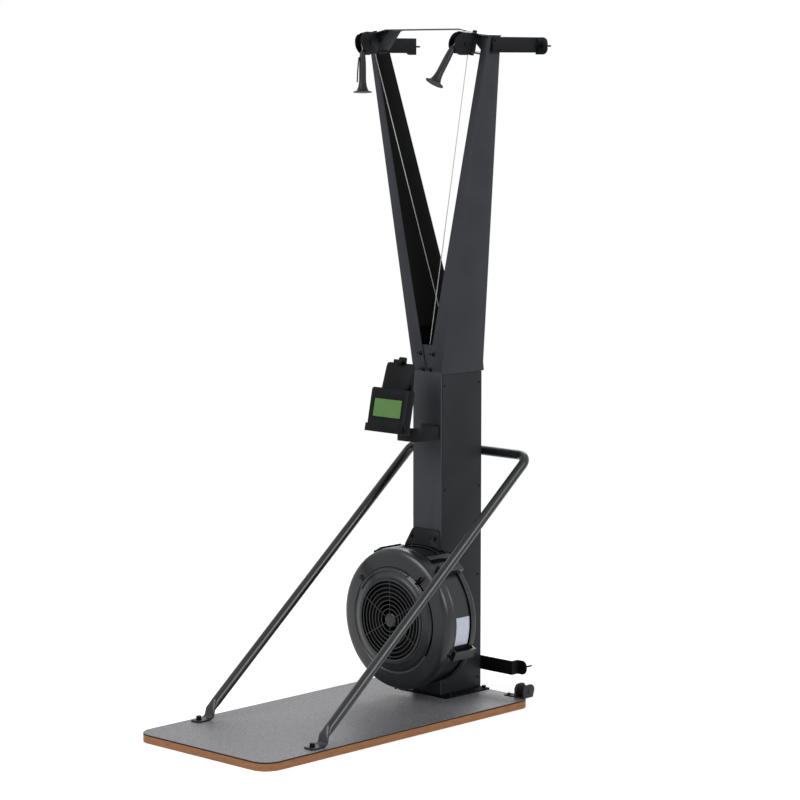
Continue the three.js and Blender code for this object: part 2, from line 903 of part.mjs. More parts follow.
// The handle hangs from its top, at the origin, along -Z.
function handleGeometry() {
  const neck = handleLength * handleNeckShare;
  const disc = handleLength - flangeThickness;
  const profile = [
    [0, -handleLength],
    [flangeRadius, -handleLength],
    [flangeRadius, -disc],
    [handleFlareRadius, -disc + flangeThickness / 2],
    [handleFlareRadius * handleWaistShare, -(neck + disc * 2) / 3],
    [handleGripRadius, -neck],
    [handleGripRadius, -handleLength / 3],
    [handleTopRadius, -flangeThickness / 2],
    [handleTopRadius - strapThickness / 2, 0],
    [0, 0],
  ].map(([radius, z]) => new THREE.Vector2(radius, z));
  return new THREE.LatheGeometry(profile, 24).rotateX(Math.PI / 2);
}

function strapGeometry() {
  const swell = ((handleGripRadius - handleTopRadius) * strapStart) / (handleLength / 3);
  const seat = handleTopRadius + swell + strapThickness / 2 + gap * 2;
  const reach = handleGripRadius + strapStandoff;
  const centre = new THREE.QuadraticBezierCurve3(
    new THREE.Vector3(0, -seat, -strapStart),
    new THREE.Vector3(0, -reach, -(strapStart + strapLength) / 2),
    new THREE.Vector3(0, -reach, -strapLength),
  );
  const section = outline([
    [-strapWidth / 2, -strapThickness / 2],
    [strapWidth / 2, -strapThickness / 2],
    [strapWidth / 2, strapThickness / 2],
    [-strapWidth / 2, strapThickness / 2],
  ]);
  const options = { steps: 6, extrudePath: centre, bevelEnabled: false };
  return new THREE.ExtrudeGeometry(section, options);
}

function addPulleyUnits() {
  for (const side of [-1, 1]) {
    const word = side < 0 ? 'left' : 'right';
    const frame = swivelFrame(side);
    swivels.set(side, frame);
    part(`${word}_housing`, housingGeometry(), steelPaint, frame);
    const pulley = part(`${word}_pulley`, pulleyGeometry(), darkPlastic, frame);
    pulley.position.y = -pulleyForward;
    part(`${word}_swivel_pin`, pinGeometry(), zincSteel, frame);
  }
}

// The pin in the housing's frame, with its head over the cross plate and its nut under the shelf.
function pinGeometry() {
  const headSeat = pulleyDrop + crossThickness + gap * 2;
  const nutSeat = pulleyDrop - shelfDrop - shelfThickness - gap * 2;
  return join(
    bar([0, 0, nutSeat - pinHeadHeight], [0, 0, headSeat], pinRadius, 16),
    bar([0, 0, headSeat], [0, 0, headSeat + pinHeadHeight], pinHeadRadius, 6),
    bar([0, 0, nutSeat - pinHeadHeight], [0, 0, nutSeat], pinHeadRadius, 6),
  );
}

// A point on the pulley's cord line, in the housing's frame. The angle runs from the pulley's
// back over its top to its front, where the cord turns down to the handle.
function pulleyPoint(angle) {
  const y = -pulleyForward + Math.cos(angle) * pulleyRadius;
  return new THREE.Vector3(0, y, Math.sin(angle) * pulleyRadius);
}

// The end of the drive cord, straight under the back of the pulley, where the lead takes over.
function cordEnd(drop) {
  return pulleyPoint(0).setZ(-drop);
}

function addHandles() {
  for (const side of [-1, 1]) {
    const word = side < 0 ? 'left' : 'right';
    const swivel = swivels.get(side);
    const lean = side < 0 ? leftHandleLean : rightHandleLean;
    const wrap = Math.PI - lean;
    const hang = new THREE.Vector3(0, -Math.sin(lean), -Math.cos(lean));
    const top = pulleyPoint(wrap).addScaledVector(hang, handleDrop);
    const frame = new THREE.Group();
    frame.position.copy(top);
    frame.rotation.set(-lean, side < 0 ? leftHandlePlumb : 0, 0);
    swivel.add(frame);
    part(`${word}_handle`, handleGeometry(), gripRubber, frame);
    const strap = part(`${word}_handle_strap`, strapGeometry(), blackRubber, frame);
    strap.rotation.z = side < 0 ? -Math.PI / 4 : (-Math.PI * 3) / 4;
    const points = [cordEnd(cordStop - gap * 2)];
    for (let i = 0; i <= leadSteps; i += 1) points.push(pulleyPoint((wrap * i) / leadSteps));
    points.push(top.clone().addScaledVector(hang, -gap * 2));
    part(`${word}_cord_lead`, tubeAlong(points, cordRadius, 8), cordFibre, swivel);
  }
}

// Each long cord runs from under its pulley to a guide at the foot of the V, then to its drum.
function addCords() {
  for (const side of [-1, 1]) {
    const word = side < 0 ? 'left' : 'right';
    const y = side < 0 ? rearDrumY : frontDrumY;
    const top = swivels.get(side).localToWorld(cordEnd(cordStop));
    const route = roundedRoute([
      [-cordOffset, y, fanHeight + gap],
      [-cordOffset, y, guideHeight + guideRise],
      top.toArray(),
    ], guideRadius * 2, 4);
    part(`${word}_cord`, tubeAlong(route, cordRadius, 8), cordFibre);
  }
}

function drumGeometry(y) {
  const half = drumLength / 2;
  const bore = shaftRadius + runningGap;
  const inner = half - drumFlangeThickness;
  const core = drumCore - gap;
  return turnedAlongY([
    [bore, y - half],
    [drumFlange, y - half],
    [drumFlange, y - inner],
    [core, y - inner],
    [core, y + inner],
    [drumFlange, y + inner],
    [drumFlange, y + half],
    [bore, y + half],
    [bore, y - half],
  ], 24).translate(0, 0, fanHeight);
}

function flywheelGeometry() {
  const bore = shaftRadius + gap;
  const hub = ring(bore, wheelHubRadius, wheelFront, wheelBack, 24);
  const plate = ring(bore, wheelRadius, wheelBack - wheelPlate, wheelBack);
  const front = ring(wheelRadius - wheelRingWidth, wheelRadius, wheelFront, wheelFront + wheelPlate);
  const blades = [];
  for (let i = 0; i < bladeCount; i += 1) {
    const blade = block(
      [bladeInner, wheelFront + wheelPlate / 2, -bladeThickness / 2],
      [wheelRadius - bladeThickness, wheelBack - wheelPlate / 2, bladeThickness / 2],
    );
    blades.push(blade.rotateY((i * 2 * Math.PI) / bladeCount));
  }
  return join(hub, plate, front, ...blades).translate(0, 0, fanHeight);
}

function addDrive() {
  part('flywheel', flywheelGeometry(), darkPlastic);
  const shaftBack = columnBack - sheet - shaftEndGap;
  const shaft = bar([0, shaftFront, fanHeight], [0, shaftBack, fanHeight], shaftRadius, 24);
  part('flywheel_shaft', shaft, brightSteel);
  const frontBearing = columnFront + sheet + frontBearingBack - bearingLength;
  const rearBearing = columnBack - sheet - gap - bearingLength;
  const bearing = (y) => ring(shaftRadius + runningGap, bearingRadius, y, y + bearingLength, 28);
  part('front_bearing', bearing(frontBearing).translate(0, 0, fanHeight), brightSteel);
  part('rear_bearing', bearing(rearBearing).translate(0, 0, fanHeight), brightSteel);
  part('left_drum', drumGeometry(rearDrumY), darkPlastic);
  part('right_drum', drumGeometry(frontDrumY), darkPlastic);
}

function guideCentreX(side) {
  return side < 0 ? -cordOffset - guideRadius : -cordOffset + guideRadius;
}

function addGuides() {
  const middle = (frontDrumY + rearDrumY) / 2;
  const foot = guideHeight - guidePlateHeight / 2;
  const reach = armOuterX(foot) - armSkin - gap * 2;
  const plate = block(
    [-reach, middle - guidePlateThickness / 2, foot],
    [reach, middle + guidePlateThickness / 2, foot + guidePlateHeight],
  );
  const axles = [-1, 1].map((side) => {
    const y = side < 0 ? rearDrumY : frontDrumY;
    const end = y - side * guideWidth;
    const x = guideCentreX(side);
    return bar([x, middle, guideHeight], [x, end, guideHeight], guideAxleRadius);
  });
  part('guide_bracket', join(plate, ...axles), steelPaint);
  for (const side of [-1, 1]) {
    const word = side < 0 ? 'left' : 'right';
    const y = side < 0 ? rearDrumY : frontDrumY;
    const half = guideWidth / 2;
    const groove = guideRadius - cordRadius - 2 * gap;
    const bore = guideAxleRadius + runningGap;
    const wheel = turnedAlongY([
      [bore, y - half],
      [guideRim, y - half],
      [groove, y - guideGroove],
      [groove, y + guideGroove],
      [guideRim, y + half],
      [bore, y + half],
      [bore, y - half],
    ], 24);
    part(`${word}_guide_pulley`, wheel.translate(guideCentreX(side), 0, guideHeight), darkPlastic);
  }
}

function addReturns() {
  const half = anchorSize / 2;
  const anchor = block(
    [-columnHalf + sheet + gap, columnFront + sheet + gap, anchorHeight],
    [columnHalf - sheet - gap, columnBack - sheet - gap, anchorHeight + anchorThickness],
  );
  const slot = block(
    [-columnHalf, frontDrumY - half, anchorHeight - overrun],
    [0, rearDrumY + half, anchorHeight + overrun],
  );
  const anchorPlate = cut(anchor, slot);
  const places = [rearDrumY, frontDrumY];
  const bore = returnCordRadius + gap;
  const holes = places.map((y) => bar(
    [cordOffset, y, anchorHeight - overrun],
    [cordOffset, y, anchorHeight + overrun],
    bore,
  ));
  part('return_anchor', cut(anchorPlate, ...holes), steelPaint);
  places.forEach((y, i) => {
    const x = drumCore + returnCordRadius;
    const anchorTop = anchorHeight + anchorThickness;
    const run = bar([x, y, fanHeight], [cordOffset, y, anchorTop + gap], returnCordRadius, 8);
    const knot = bar(
      [cordOffset, y, anchorTop + gap],
      [cordOffset, y, anchorTop + anchorSize],
      returnCordRadius * 2,
      12,
    );
    part(i === 0 ? 'left_return_cord' : 'right_return_cord', join(run, knot), blackRubber);
  });
}

const lugAngles = () => Array.from({ length: lugCount }, (_, i) =>
  THREE.MathUtils.degToRad(lugFirst + (i * 360) / lugCount));

function lugBlock(front, back, inner) {
  return block([inner, front, -lugWidth / 2], [lugOuter, back, lugWidth / 2]);
}

function aroundFan(geometry, angle) {
  return geometry.rotateY(-angle).translate(0, 0, fanHeight);
}

function addFanShells() {
  const rearRing = turnedAlongY([
    [shellBoreRadius, rearShellBack - shellWall],
    [rearShellRadius - shellWall, rearShellBack - shellWall],
    [rearShellRadius - shellWall, rearShellFront],
    [rearShellRadius, rearShellFront],
    [rearShellRadius, rearShellBack],
    [shellBoreRadius, rearShellBack],
    [shellBoreRadius, rearShellBack - shellWall],
  ]).translate(0, 0, fanHeight);
  const lugs = lugAngles().map((angle) => aroundFan(
    lugBlock(frontShellBack + gap, rearShellBack - shellWall, bandRadius + 2 * gap),
    angle,
  ));
  const bosses = [-1, 1].map((side) => bar(
    [side * spacerReach, frontShellBack + gap, fanHeight + spacerRise],
    [side * spacerReach, rearShellBack, fanHeight + spacerRise],
    bossRadius,
    20,
  ));
  const frontSpace = ring(shellBoreRadius, bandRadius + gap, frontShellBack - overrun, rearShellFront, 48);
  const rearShell = cut(join(rearRing, ...lugs, ...bosses), frontSpace.translate(0, 0, fanHeight));
  part('fan_rear_shell', rearShell, mouldedPlastic);
  const band = ring(bandRadius - shellWall, bandRadius, frontShellBack + gap, rearShellFront - gap, 48);
  part('fan_band', band.translate(0, 0, fanHeight), mouldedPlastic);
  addFrontShell();
}

function addFrontShell() {
  const ridgeY = rimFront - ridgeStep;
  const bowlY = ridgeY - shellWall;
  const lipY = fanFrontFace + grilleThickness;
  const skin = turnedAlongY([
    [grilleRadius + gap, lipY],
    [ridgeRadius - ridgeStep, bowlY],
    [ridgeRadius, ridgeY],
    [shellRadius - rimRound, rimFront],
    [shellRadius, rimFront + rimRound],
    [shellRadius, frontShellBack],
    [shellRadius - shellFlange, frontShellBack],
    [shellRadius - shellFlange, frontShellBack - shellWall],
    [shellRadius - shellWall, frontShellBack - shellWall],
    [shellRadius - shellWall, rimFront + rimRound + shellWall],
    [ridgeRadius, ridgeY + shellWall],
    [grilleRadius + gap, lipY + shellWall * 3],
    [grilleRadius + gap, lipY],
  ]).translate(0, 0, fanHeight);
  const ears = lugAngles().map((angle) => aroundFan(
    lugBlock(frontShellBack - lugEar, frontShellBack, shellRadius - shellWall),
    angle,
  ));
  part('fan_front_shell', cut(join(skin, ...ears), leverSlot()), mouldedPlastic);
}

// A sector of a ring about the fan's axis, between two angles in degrees.
function ringSector(inner, outer, fromDegrees, toDegrees, front, back, segments = 16) {
  const from = THREE.MathUtils.degToRad(fromDegrees);
  const to = THREE.MathUtils.degToRad(toDegrees);
  const shape = new THREE.Shape();
  shape.absarc(0, 0, outer, from, to, false);
  shape.absarc(0, 0, inner, to, from, true);
  shape.closePath();
  return plateXZ(shape, front, back, segments).translate(0, 0, fanHeight);
}

function leverSlot() {
  const half = leverWidth / 2 + gap * 2;
  return ringSector(
    leverRadius - half,
    leverRadius + half,
    leverAngle - leverTravel - leverSlotMargin,
    leverAngle + leverSlotMargin,
    fanFrontFace - overrun,
    rimFront + overrun,
  );
}

function addDamper() {
  const front = rimFront + gap * 2;
  const disc = ring(damperInner, damperOuter, front, front + damperThickness, 40).translate(0, 0, fanHeight);
  const half = leverWidth / 2;
  const tab = block(
    [leverRadius - half, rimFront - leverRise, -half],
    [leverRadius + half, front + damperThickness / 2, half],
  );
  const paddle = block(
    [leverRadius - half, rimFront - leverRise - leverWidth, -half],
    [leverRadius - half + leverLength, rimFront - leverRise + gap, half],
  );
  const lever = join(tab, paddle);
  const turned = aroundFan(lever, THREE.MathUtils.degToRad(leverAngle));
  part('damper_ring', join(disc, turned), darkPlastic);
}

function addGrille() {
  const pitch = (grilleRadius - grilleHubRadius) / (grilleRings + 1);
  const sector = (2 * Math.PI) / grilleSpokes;
  const rim = arcPoints(grilleRadius, 0, 2 * Math.PI, grilleSpokes * grilleSteps);
  const shape = new THREE.Shape(rim.slice(0, -1));
  for (let row = 0; row <= grilleRings; row += 1) {
    const inside = grilleHubRadius + row * pitch + grilleBarWidth / 2;
    const outside = grilleHubRadius + (row + 1) * pitch - grilleBarWidth / 2;
    for (let i = 0; i < grilleSpokes; i += 1) {
      const inset = grilleBarWidth / 2 / inside;
      const from = (i + 1 / 2) * sector + inset;
      const to = (i + 3 / 2) * sector - inset;
      const points = [
        ...arcPoints(outside, from, to, grilleSteps),
        ...arcPoints(inside, to, from, grilleSteps),
      ];
      shape.holes.push(new THREE.Path(points));
    }
  }
  const grille = plateXZ(shape, fanFrontFace, fanFrontFace + grilleThickness);
  part('fan_grille', grille.translate(0, 0, fanHeight), mouldedPlastic);
}

function arcPoints(radius, from, to, steps) {
  return Array.from({ length: steps + 1 }, (_, i) => {
    const angle = from + ((to - from) * i) / steps;
    return new THREE.Vector2(radius * Math.cos(angle), radius * Math.sin(angle));
  });
}

// The sheet hood that carries the fan on the column's front.
function addFanBracket() {
  const back = columnFront - gap;
  const hoodSide = outline([
    [back, hoodFoot],
    [back, hoodTop],
    [back - sheet, hoodTop],
    [hoodFace, hoodShoulder],
    [hoodFace, hoodFoot],
  ]);
  const hoodInside = outline([
    [back + overrun, hoodFoot - overrun],
    [back + overrun, hoodTop - sheet * 2],
    [back - sheet, hoodTop - sheet * 2],
    [hoodFace + sheet, hoodShoulder - sheet],
    [hoodFace + sheet, hoodFoot - overrun],
  ]);
  const spread = (inset, low) => taperedOutline(
    hoodFootHalf - inset,
    hoodTopHalf - inset,
    low,
    hoodTop,
    hoodRound,
  );
  const body = common(
    plateYZ(hoodSide, -hoodFootHalf, hoodFootHalf),
    plateXZ(spread(0, hoodFoot - hoodRound), hoodFace, back),
  );
  const hollow = common(
    plateYZ(hoodInside, -hoodFootHalf, hoodFootHalf),
    plateXZ(spread(sheet, hoodFoot - overrun), hoodFace - overrun, back + overrun),
  );
  const fanSpace = bar(
    [0, hoodFace - overrun, fanHeight],
    [0, rearShellBack + gap, fanHeight],
    rearShellRadius + sheet,
    64,
  );
  const hood = cut(body, hollow, fanSpace);
  const backPlate = plateXZ(outline([
    [-spacerReach - bossRadius, fanHeight + spacerRise - bossRadius],
    [spacerReach + bossRadius, fanHeight + spacerRise - bossRadius],
    [spacerReach + bossRadius, fanHeight + spacerRise + bossRadius],
    [hoodFootHalf - hoodRound, fanHeight + spacerRise + bossRadius],
    [hoodTopHalf - hoodRound, hoodTop - sheet],
    [-hoodTopHalf + hoodRound, hoodTop - sheet],
    [-hoodFootHalf + hoodRound, fanHeight + spacerRise + bossRadius],
    [-spacerReach - bossRadius, fanHeight + spacerRise + bossRadius],
  ]), back - sheet, back);
  const spacers = [-1, 1].map((way) => bar(
    [way * spacerReach, rearShellBack + gap, fanHeight + spacerRise],
    [way * spacerReach, back, fanHeight + spacerRise],
    spacerRadius,
    16,
  ));
  const faceHoles = [-1, 1].map((way) => bar(
    [way * hoodHoleReach, hoodFace - overrun, hoodHoleHeight],
    [way * hoodHoleReach, back - sheet, hoodHoleHeight],
    hoodHoleRadius,
  ));
  part('fan_bracket', cut(join(hood, backPlate, ...spacers), ...faceHoles), steelPaint);
}

function addSupport() {
  const barY = columnBack + tubeRadius + gap;
  const footZ = deckTop + supportFootRise;
  const foot = new THREE.Vector3(supportHalf, supportFootY, footZ);
  const corner = new THREE.Vector3(supportHalf, barY, supportHeight);
  const rise = corner.clone().sub(foot).normalize();
  const start = foot.clone().addScaledVector(rise, crimpLength);
  const route = roundedRoute([
    start.toArray(),
    corner.toArray(),
    [-supportHalf, barY, supportHeight],
    [-start.x, start.y, start.z],
  ], supportBendRadius);
  const tube = tubeAlong(route, tubeRadius, tubeSides);
  const feet = [-1, 1].map((side) => {
    const plate = block(
      [side * supportHalf - footWidth / 2, supportFootY - footLength, deckTop + gap],
      [side * supportHalf + footWidth / 2, supportFootY + footThickness, deckTop + footThickness],
    );
    return join(plate, crimp(side, start, rise));
  });
  const underDeck = block(
    [-deckWidth, -deckLength, -deckTop],
    [deckWidth, deckLength, deckTop + gap],
  );
  const footHoles = footBoltPlaces().map(([x, y]) => throughDeck(x, y));
  part('support_frame', cut(join(tube, ...feet), underDeck, ...footHoles), steelPaint);
}

// A flat tab against the wall: it starts at an edge and ends in two rounded corners.
function tabPlate(edge, width, low, high) {
  const end = edge + width - tabRound;
  const shape = new THREE.Shape();
  shape.moveTo(edge, low);
  shape.lineTo(end, low);
  shape.absarc(end, low + tabRound, tabRound, -Math.PI / 2, 0);
  shape.absarc(end, high - tabRound, tabRound, 0, Math.PI / 2);
  shape.lineTo(edge, high);
  shape.closePath();
  return plateXZ(shape, wallPlane - strapPlate, wallPlane);
}

// The tube's end, pressed from round to flat where it meets its foot plate.
function crimp(side, start, rise) {
  const across = new THREE.Vector3(1, 0, 0);
  const up = new THREE.Vector3().crossVectors(across, rise);
  const points = [];
  const radius = tubeRadius - gap;
  const centre = start.clone().addScaledVector(rise, crimpLap);
  for (let i = 0; i < tubeSides; i += 1) {
    const angle = (i * 2 * Math.PI) / tubeSides;
    points.push(centre.clone()
      .addScaledVector(across, radius * Math.cos(angle))
      .addScaledVector(up, radius * Math.sin(angle)));
  }
  for (const way of [-1, 1]) {
    const x = supportHalf + way * crimpHalf;
    points.push(new THREE.Vector3(x, supportFootY - footThickness, deckTop + gap));
    points.push(new THREE.Vector3(x, supportFootY - footThickness, deckTop + crimpThickness));
    points.push(new THREE.Vector3(x, supportFootY + crimpThickness, deckTop + gap));
  }
  const right = new ConvexGeometry(points);
  return side < 0 ? mirrored(right) : right;
}

function addWallParts() {
  const near = wallStrapX();
  const holeX = near + tabWidth / 2;
  const holeZ = wallStrapTop - tabHeight / 2;
  for (const side of [-1, 1]) {
    const word = side < 0 ? 'left' : 'right';
    const strip = block(
      [near, wallStrapStart, wallStrapTop - strapHeight],
      [near + strapPlate, wallPlane, wallStrapTop],
    );
    const tab = tabPlate(near, tabWidth, wallStrapTop - tabHeight, wallStrapTop);
    const right = cut(join(strip, tab), wallHole(holeX, holeZ));
    part(`${word}_wall_strap`, side < 0 ? mirrored(right) : right, steelPaint);
    part(`${word}_upper_wall_screw`, wallScrew(side * holeX, holeZ), zincSteel);
  }
  addLowerBracket();
}

function wallHole(x, z) {
  return bar([x, wallPlane - overrun, z], [x, wallPlane + overrun, z], wallScrewRadius + gap, 10);
}

function wallScrew(x, z) {
  const seat = wallPlane - strapPlate - gap;
  return join(
    bar([x, seat - screwHeadHeight, z], [x, seat, z], screwHeadRadius, 12),
    bar([x, seat - screwHeadHeight, z], [x, wallPlane + wallScrewReach, z], wallScrewRadius, 10),
  );
}

function addLowerBracket() {
  const low = lowerHeight - lowerHeightSize / 2;
  const high = lowerHeight + lowerHeightSize / 2;
  const front = columnBack + gap;
  const strip = block([-lowerHalf, front, low], [lowerHalf, front + strapPlate, high]);
  const pieces = [strip];
  const holes = [];
  for (const side of [-1, 1]) {
    const edge = side * lowerHalf;
    const inner = side * (lowerHalf - strapPlate);
    pieces.push(block(
      [Math.min(edge, inner), front, low],
      [Math.max(edge, inner), wallPlane, high],
    ));
    const tab = tabPlate(lowerHalf - strapPlate, lowerTab, low, high);
    pieces.push(side < 0 ? mirrored(tab) : tab);
    const holeX = side * (lowerHalf + lowerTab / 2);
    holes.push(wallHole(holeX, lowerHeight));
    const word = side < 0 ? 'left' : 'right';
    part(`${word}_lower_wall_screw`, wallScrew(holeX, lowerHeight), zincSteel);
  }
  part('lower_wall_bracket', cut(join(...pieces), ...holes), steelPaint);
}

// The monitor leans back about a hinge at its lower back. Inside its frame, z' runs up the
// screen, y' points away from the user, and the origin is the hinge pin.
const monitorPivot = () => [0, monitorFaceY + monitorDepth + hingeEarRadius, monitorBase + hingeEarRadius];

function addMonitor() {
  const [, pivotY, pivotZ] = monitorPivot();
  const frame = new THREE.Group();
  frame.position.set(0, pivotY, pivotZ);
  frame.rotation.x = -monitorTilt;
  trainer.add(frame);
  const face = -monitorDepth - hingeEarRadius;
  const bottom = -hingeEarRadius;
  const middle = bottom + monitorHeight / 2;
  const bodyShape = roundedOutline(monitorWidth / 2, monitorHeight / 2, monitorRound);
  const body = plateXZ(bodyShape, face, -hingeEarRadius).translate(0, 0, middle);
  const footBlock = block(
    [-monitorFootWidth / 2, face - sheet, bottom],
    [monitorFootWidth / 2, -hingeEarRadius - sheet, bottom + monitorFoot],
  );
  const ears = [-1, 1].map((side) => {
    const near = side * (hingeSpan / 2 + gap);
    const far = near + side * hingeEar;
    const low = Math.min(near, far);
    const high = Math.max(near, far);
    return join(
      bar([low, 0, 0], [high, 0, 0], hingeEarRadius - gap, 20),
      block([low, -hingeEarRadius - sheet, -hingeEarRadius / 2], [high, 0, hingeEarRadius / 2]),
    );
  });
  const pinHole = bar([-hingeSpan, 0, 0], [hingeSpan, 0, 0], hingeRadius + runningGap, 20);
  const screenLow = bottom + screenRise;
  const screenLeft = -screenShift - screenWidth / 2;
  const screenRight = -screenShift + screenWidth / 2;
  const recess = block(
    [screenLeft - gap, face - overrun, screenLow - gap],
    [screenRight + gap, face + screenThickness + screenSink, screenLow + screenHeight + gap],
  );
  const shell = cut(join(body, footBlock, ...ears), pinHole, recess);
  part('monitor_case', shell, darkPlastic, frame);
  const screen = block(
    [screenLeft, face + screenSink, screenLow],
    [screenRight, face + screenSink + screenThickness - gap, screenLow + screenHeight],
  );
  part('monitor_screen', screen, liquidCrystal, frame);
  addPhoneHolder(frame);
}

function addPhoneHolder(frame) {
  const front = -hingeEarRadius + gap;
  const back = front + phoneThickness;
  const plateTop = phoneRise + phoneHeight;
  const shape = taperedOutline(phoneFootHalf, phoneTopHalf, phoneRise, plateTop, phoneRound);
  const plate = plateXZ(shape, front, back);
  const lug = block(
    [-clampWidth / 2, front, phoneRise - phoneLap],
    [clampWidth / 2, back, phoneRise + phoneLap],
  );
  const caseTop = monitorHeight - hingeEarRadius + gap;
  const ledge = block(
    [-phoneTopHalf + phoneRound, front - ledgeDepth, caseTop],
    [phoneTopHalf - phoneRound, front + phoneThickness / 2, caseTop + ledgeThickness],
  );
  part('phone_holder', join(plate, lug, ledge), darkPlastic, frame);
  const rail = back + gap;
  const top = plateTop + clampStand;
  const bridgeTop = top - clampDrop;
  const half = clampWidth / 2;
  const stemShape = roundedOutline(half, clampHeight / 2, clampRound);
  const stem = plateXZ(stemShape, rail, rail + clampThickness)
    .translate(0, 0, top - clampHeight / 2);
  const hook = block(
    [-half, front - clampHook, bridgeTop - clampThickness],
    [half, rail + clampThickness / 2, bridgeTop],
  );
  const lip = block(
    [-half, front - clampHook, bridgeTop - clampLip],
    [half, front - clampHook + clampThickness / 2, bridgeTop],
  );
  part('phone_clamp', join(stem, hook, lip), darkPlastic, frame);
}

function addMonitorArm() {
  const [, pivotY, pivotZ] = monitorPivot();
  const low = monitorArmTop - monitorArmHeight;
  const root = columnFront - gap;
  const reachY = columnFront - monitorArmReach;
  const half = monitorArmPlate / 2;
  const route = roundedRoute([
    [monitorArmRoot, root, 0],
    [monitorArmRoot, reachY, 0],
    [-monitorArmEnd, reachY, 0],
  ], monitorArmRound, 8);
  const points = route.map((point) => [point.x, point.y]);
  const shape = new THREE.Shape(sweptStrip(points, half));
  const strap = plateXY(shape, low, monitorArmTop);
  const foot = block(
    [-monitorArmEnd, root - monitorArmPlate, low],
    [monitorArmRoot + half, root, monitorArmTop],
  );
  const post = block(
    [-hingeSpan / 2 + gap, pivotY + hingeRadius, pivotZ - hingeEarRadius],
    [hingeSpan / 2 - gap, reachY + half, pivotZ + hingeEarRadius],
  );
  const barrelEnd = hingeSpan / 2 - gap;
  const barrel = bar(
    [-barrelEnd, pivotY, pivotZ],
    [barrelEnd, pivotY, pivotZ],
    hingeEarRadius - gap,
    20,
  );
  const pinEnd = hingeSpan / 2 + hingeEar + sheet;
  const pin = bar([-pinEnd, pivotY, pivotZ], [pinEnd, pivotY, pivotZ], hingeRadius, 20);
  const riser = block(
    [-hingeSpan / 2 + gap, reachY - half, Math.min(low, pivotZ - hingeEarRadius)],
    [hingeSpan / 2 - gap, reachY + half, monitorArmTop],
  );
  part('monitor_arm', join(strap, foot, riser, post, barrel, pin), steelPaint);
}

// The outline of a strip of even width about a line of points.
function sweptStrip(points, half) {
  const left = [];
  const right = [];
  points.forEach(([x, y], i) => {
    const before = points[Math.max(0, i - 1)];
    const after = points[Math.min(points.length - 1, i + 1)];
    const run = new THREE.Vector2(after[0] - before[0], after[1] - before[1]).normalize();
    left.push(new THREE.Vector2(x - run.y * half, y + run.x * half));
    right.push(new THREE.Vector2(x + run.y * half, y - run.x * half));
  });
  return [...left, ...right.reverse()];
}

// The outline of a wheel bracket's cheek, seen from its side.
function cheekOutline() {
  const front = rollerY - cheekHalf;
  const back = rollerY + cheekHalf;
  const foot = deckTop + gap;
  const high = deckTop + cheekHeight - cheekRound;
  const shape = new THREE.Shape();
  shape.moveTo(front, foot);
  shape.lineTo(back - cheekToe, foot);
  shape.lineTo(back, high);
  shape.absarc(back - cheekRound, high, cheekRound, 0, Math.PI / 2);
  shape.absarc(front + cheekRound, high, cheekRound, Math.PI / 2, Math.PI);
  shape.closePath();
  return shape;
}

function addRollers() {
  const wheelInner = rollerInner + rollerPlate + gap * 2;
  const wheelOuter = wheelInner + rollerWidth;
  const outerCheek = wheelOuter + gap * 2;
  const axleEnd = outerCheek + rollerPlate;
  const front = rollerY - cheekHalf;
  const foot = deckTop + gap;
  const top = deckTop + rollerPlate;
  for (const side of [-1, 1]) {
    const word = side < 0 ? 'left' : 'right';
    const along = (near, far) => [Math.min(side * near, side * far), Math.max(side * near, side * far)];
    const [tabLow, tabHigh] = along(rollerInner - rollerTab, rollerInner + rollerPlate);
    const tab = block([tabLow, front, foot], [tabHigh, rollerTabBack, top]);
    const [stripLow, stripHigh] = along(rollerInner, axleEnd);
    const strip = block([stripLow, front, foot], [stripHigh, front + rollerStrip, top]);
    const cheeks = [rollerInner, outerCheek].map((near) => {
      const [low, high] = along(near, near + rollerPlate);
      return plateYZ(cheekOutline(), low, high);
    });
    const axle = bar(
      [side * rollerInner, rollerY, rollerZ],
      [side * (axleEnd + rollerHeadHeight), rollerY, rollerZ],
      rollerAxle,
    );
    const head = bar(
      [side * axleEnd, rollerY, rollerZ],
      [side * (axleEnd + rollerHeadHeight), rollerY, rollerZ],
      rollerHead,
      6,
    );
    const holes = forkBoltPlaces().map(([x, y]) => throughDeck(x, y));
    const bracket = cut(join(tab, strip, ...cheeks, axle, head), ...holes);
    part(`${word}_wheel_bracket`, bracket, steelPaint);
    const bore = rollerAxle + runningGap;
    const [near, far] = along(wheelInner, wheelOuter);
    const tyre = turnedAlongY([
      [bore, near],
      [rollerRadius - rollerRound, near],
      [rollerRadius, near + rollerRound],
      [rollerRadius, far - rollerRound],
      [rollerRadius - rollerRound, far],
      [bore, far],
      [bore, near],
    ], 24).rotateZ(-Math.PI / 2).translate(0, rollerY, rollerZ);
    part(`${word}_transport_wheel`, tyre, blackRubber);
  }
}

addDeck();
addBase();
addColumn();
addArms();
addCrossPlate();
addPulleyUnits();
addHandles();
addCords();
addDrive();
addGuides();
addReturns();
addFanShells();
addDamper();
addGrille();
addFanBracket();
addSupport();
addWallParts();
addMonitorArm();
addMonitor();
addRollers();

export default trainer;
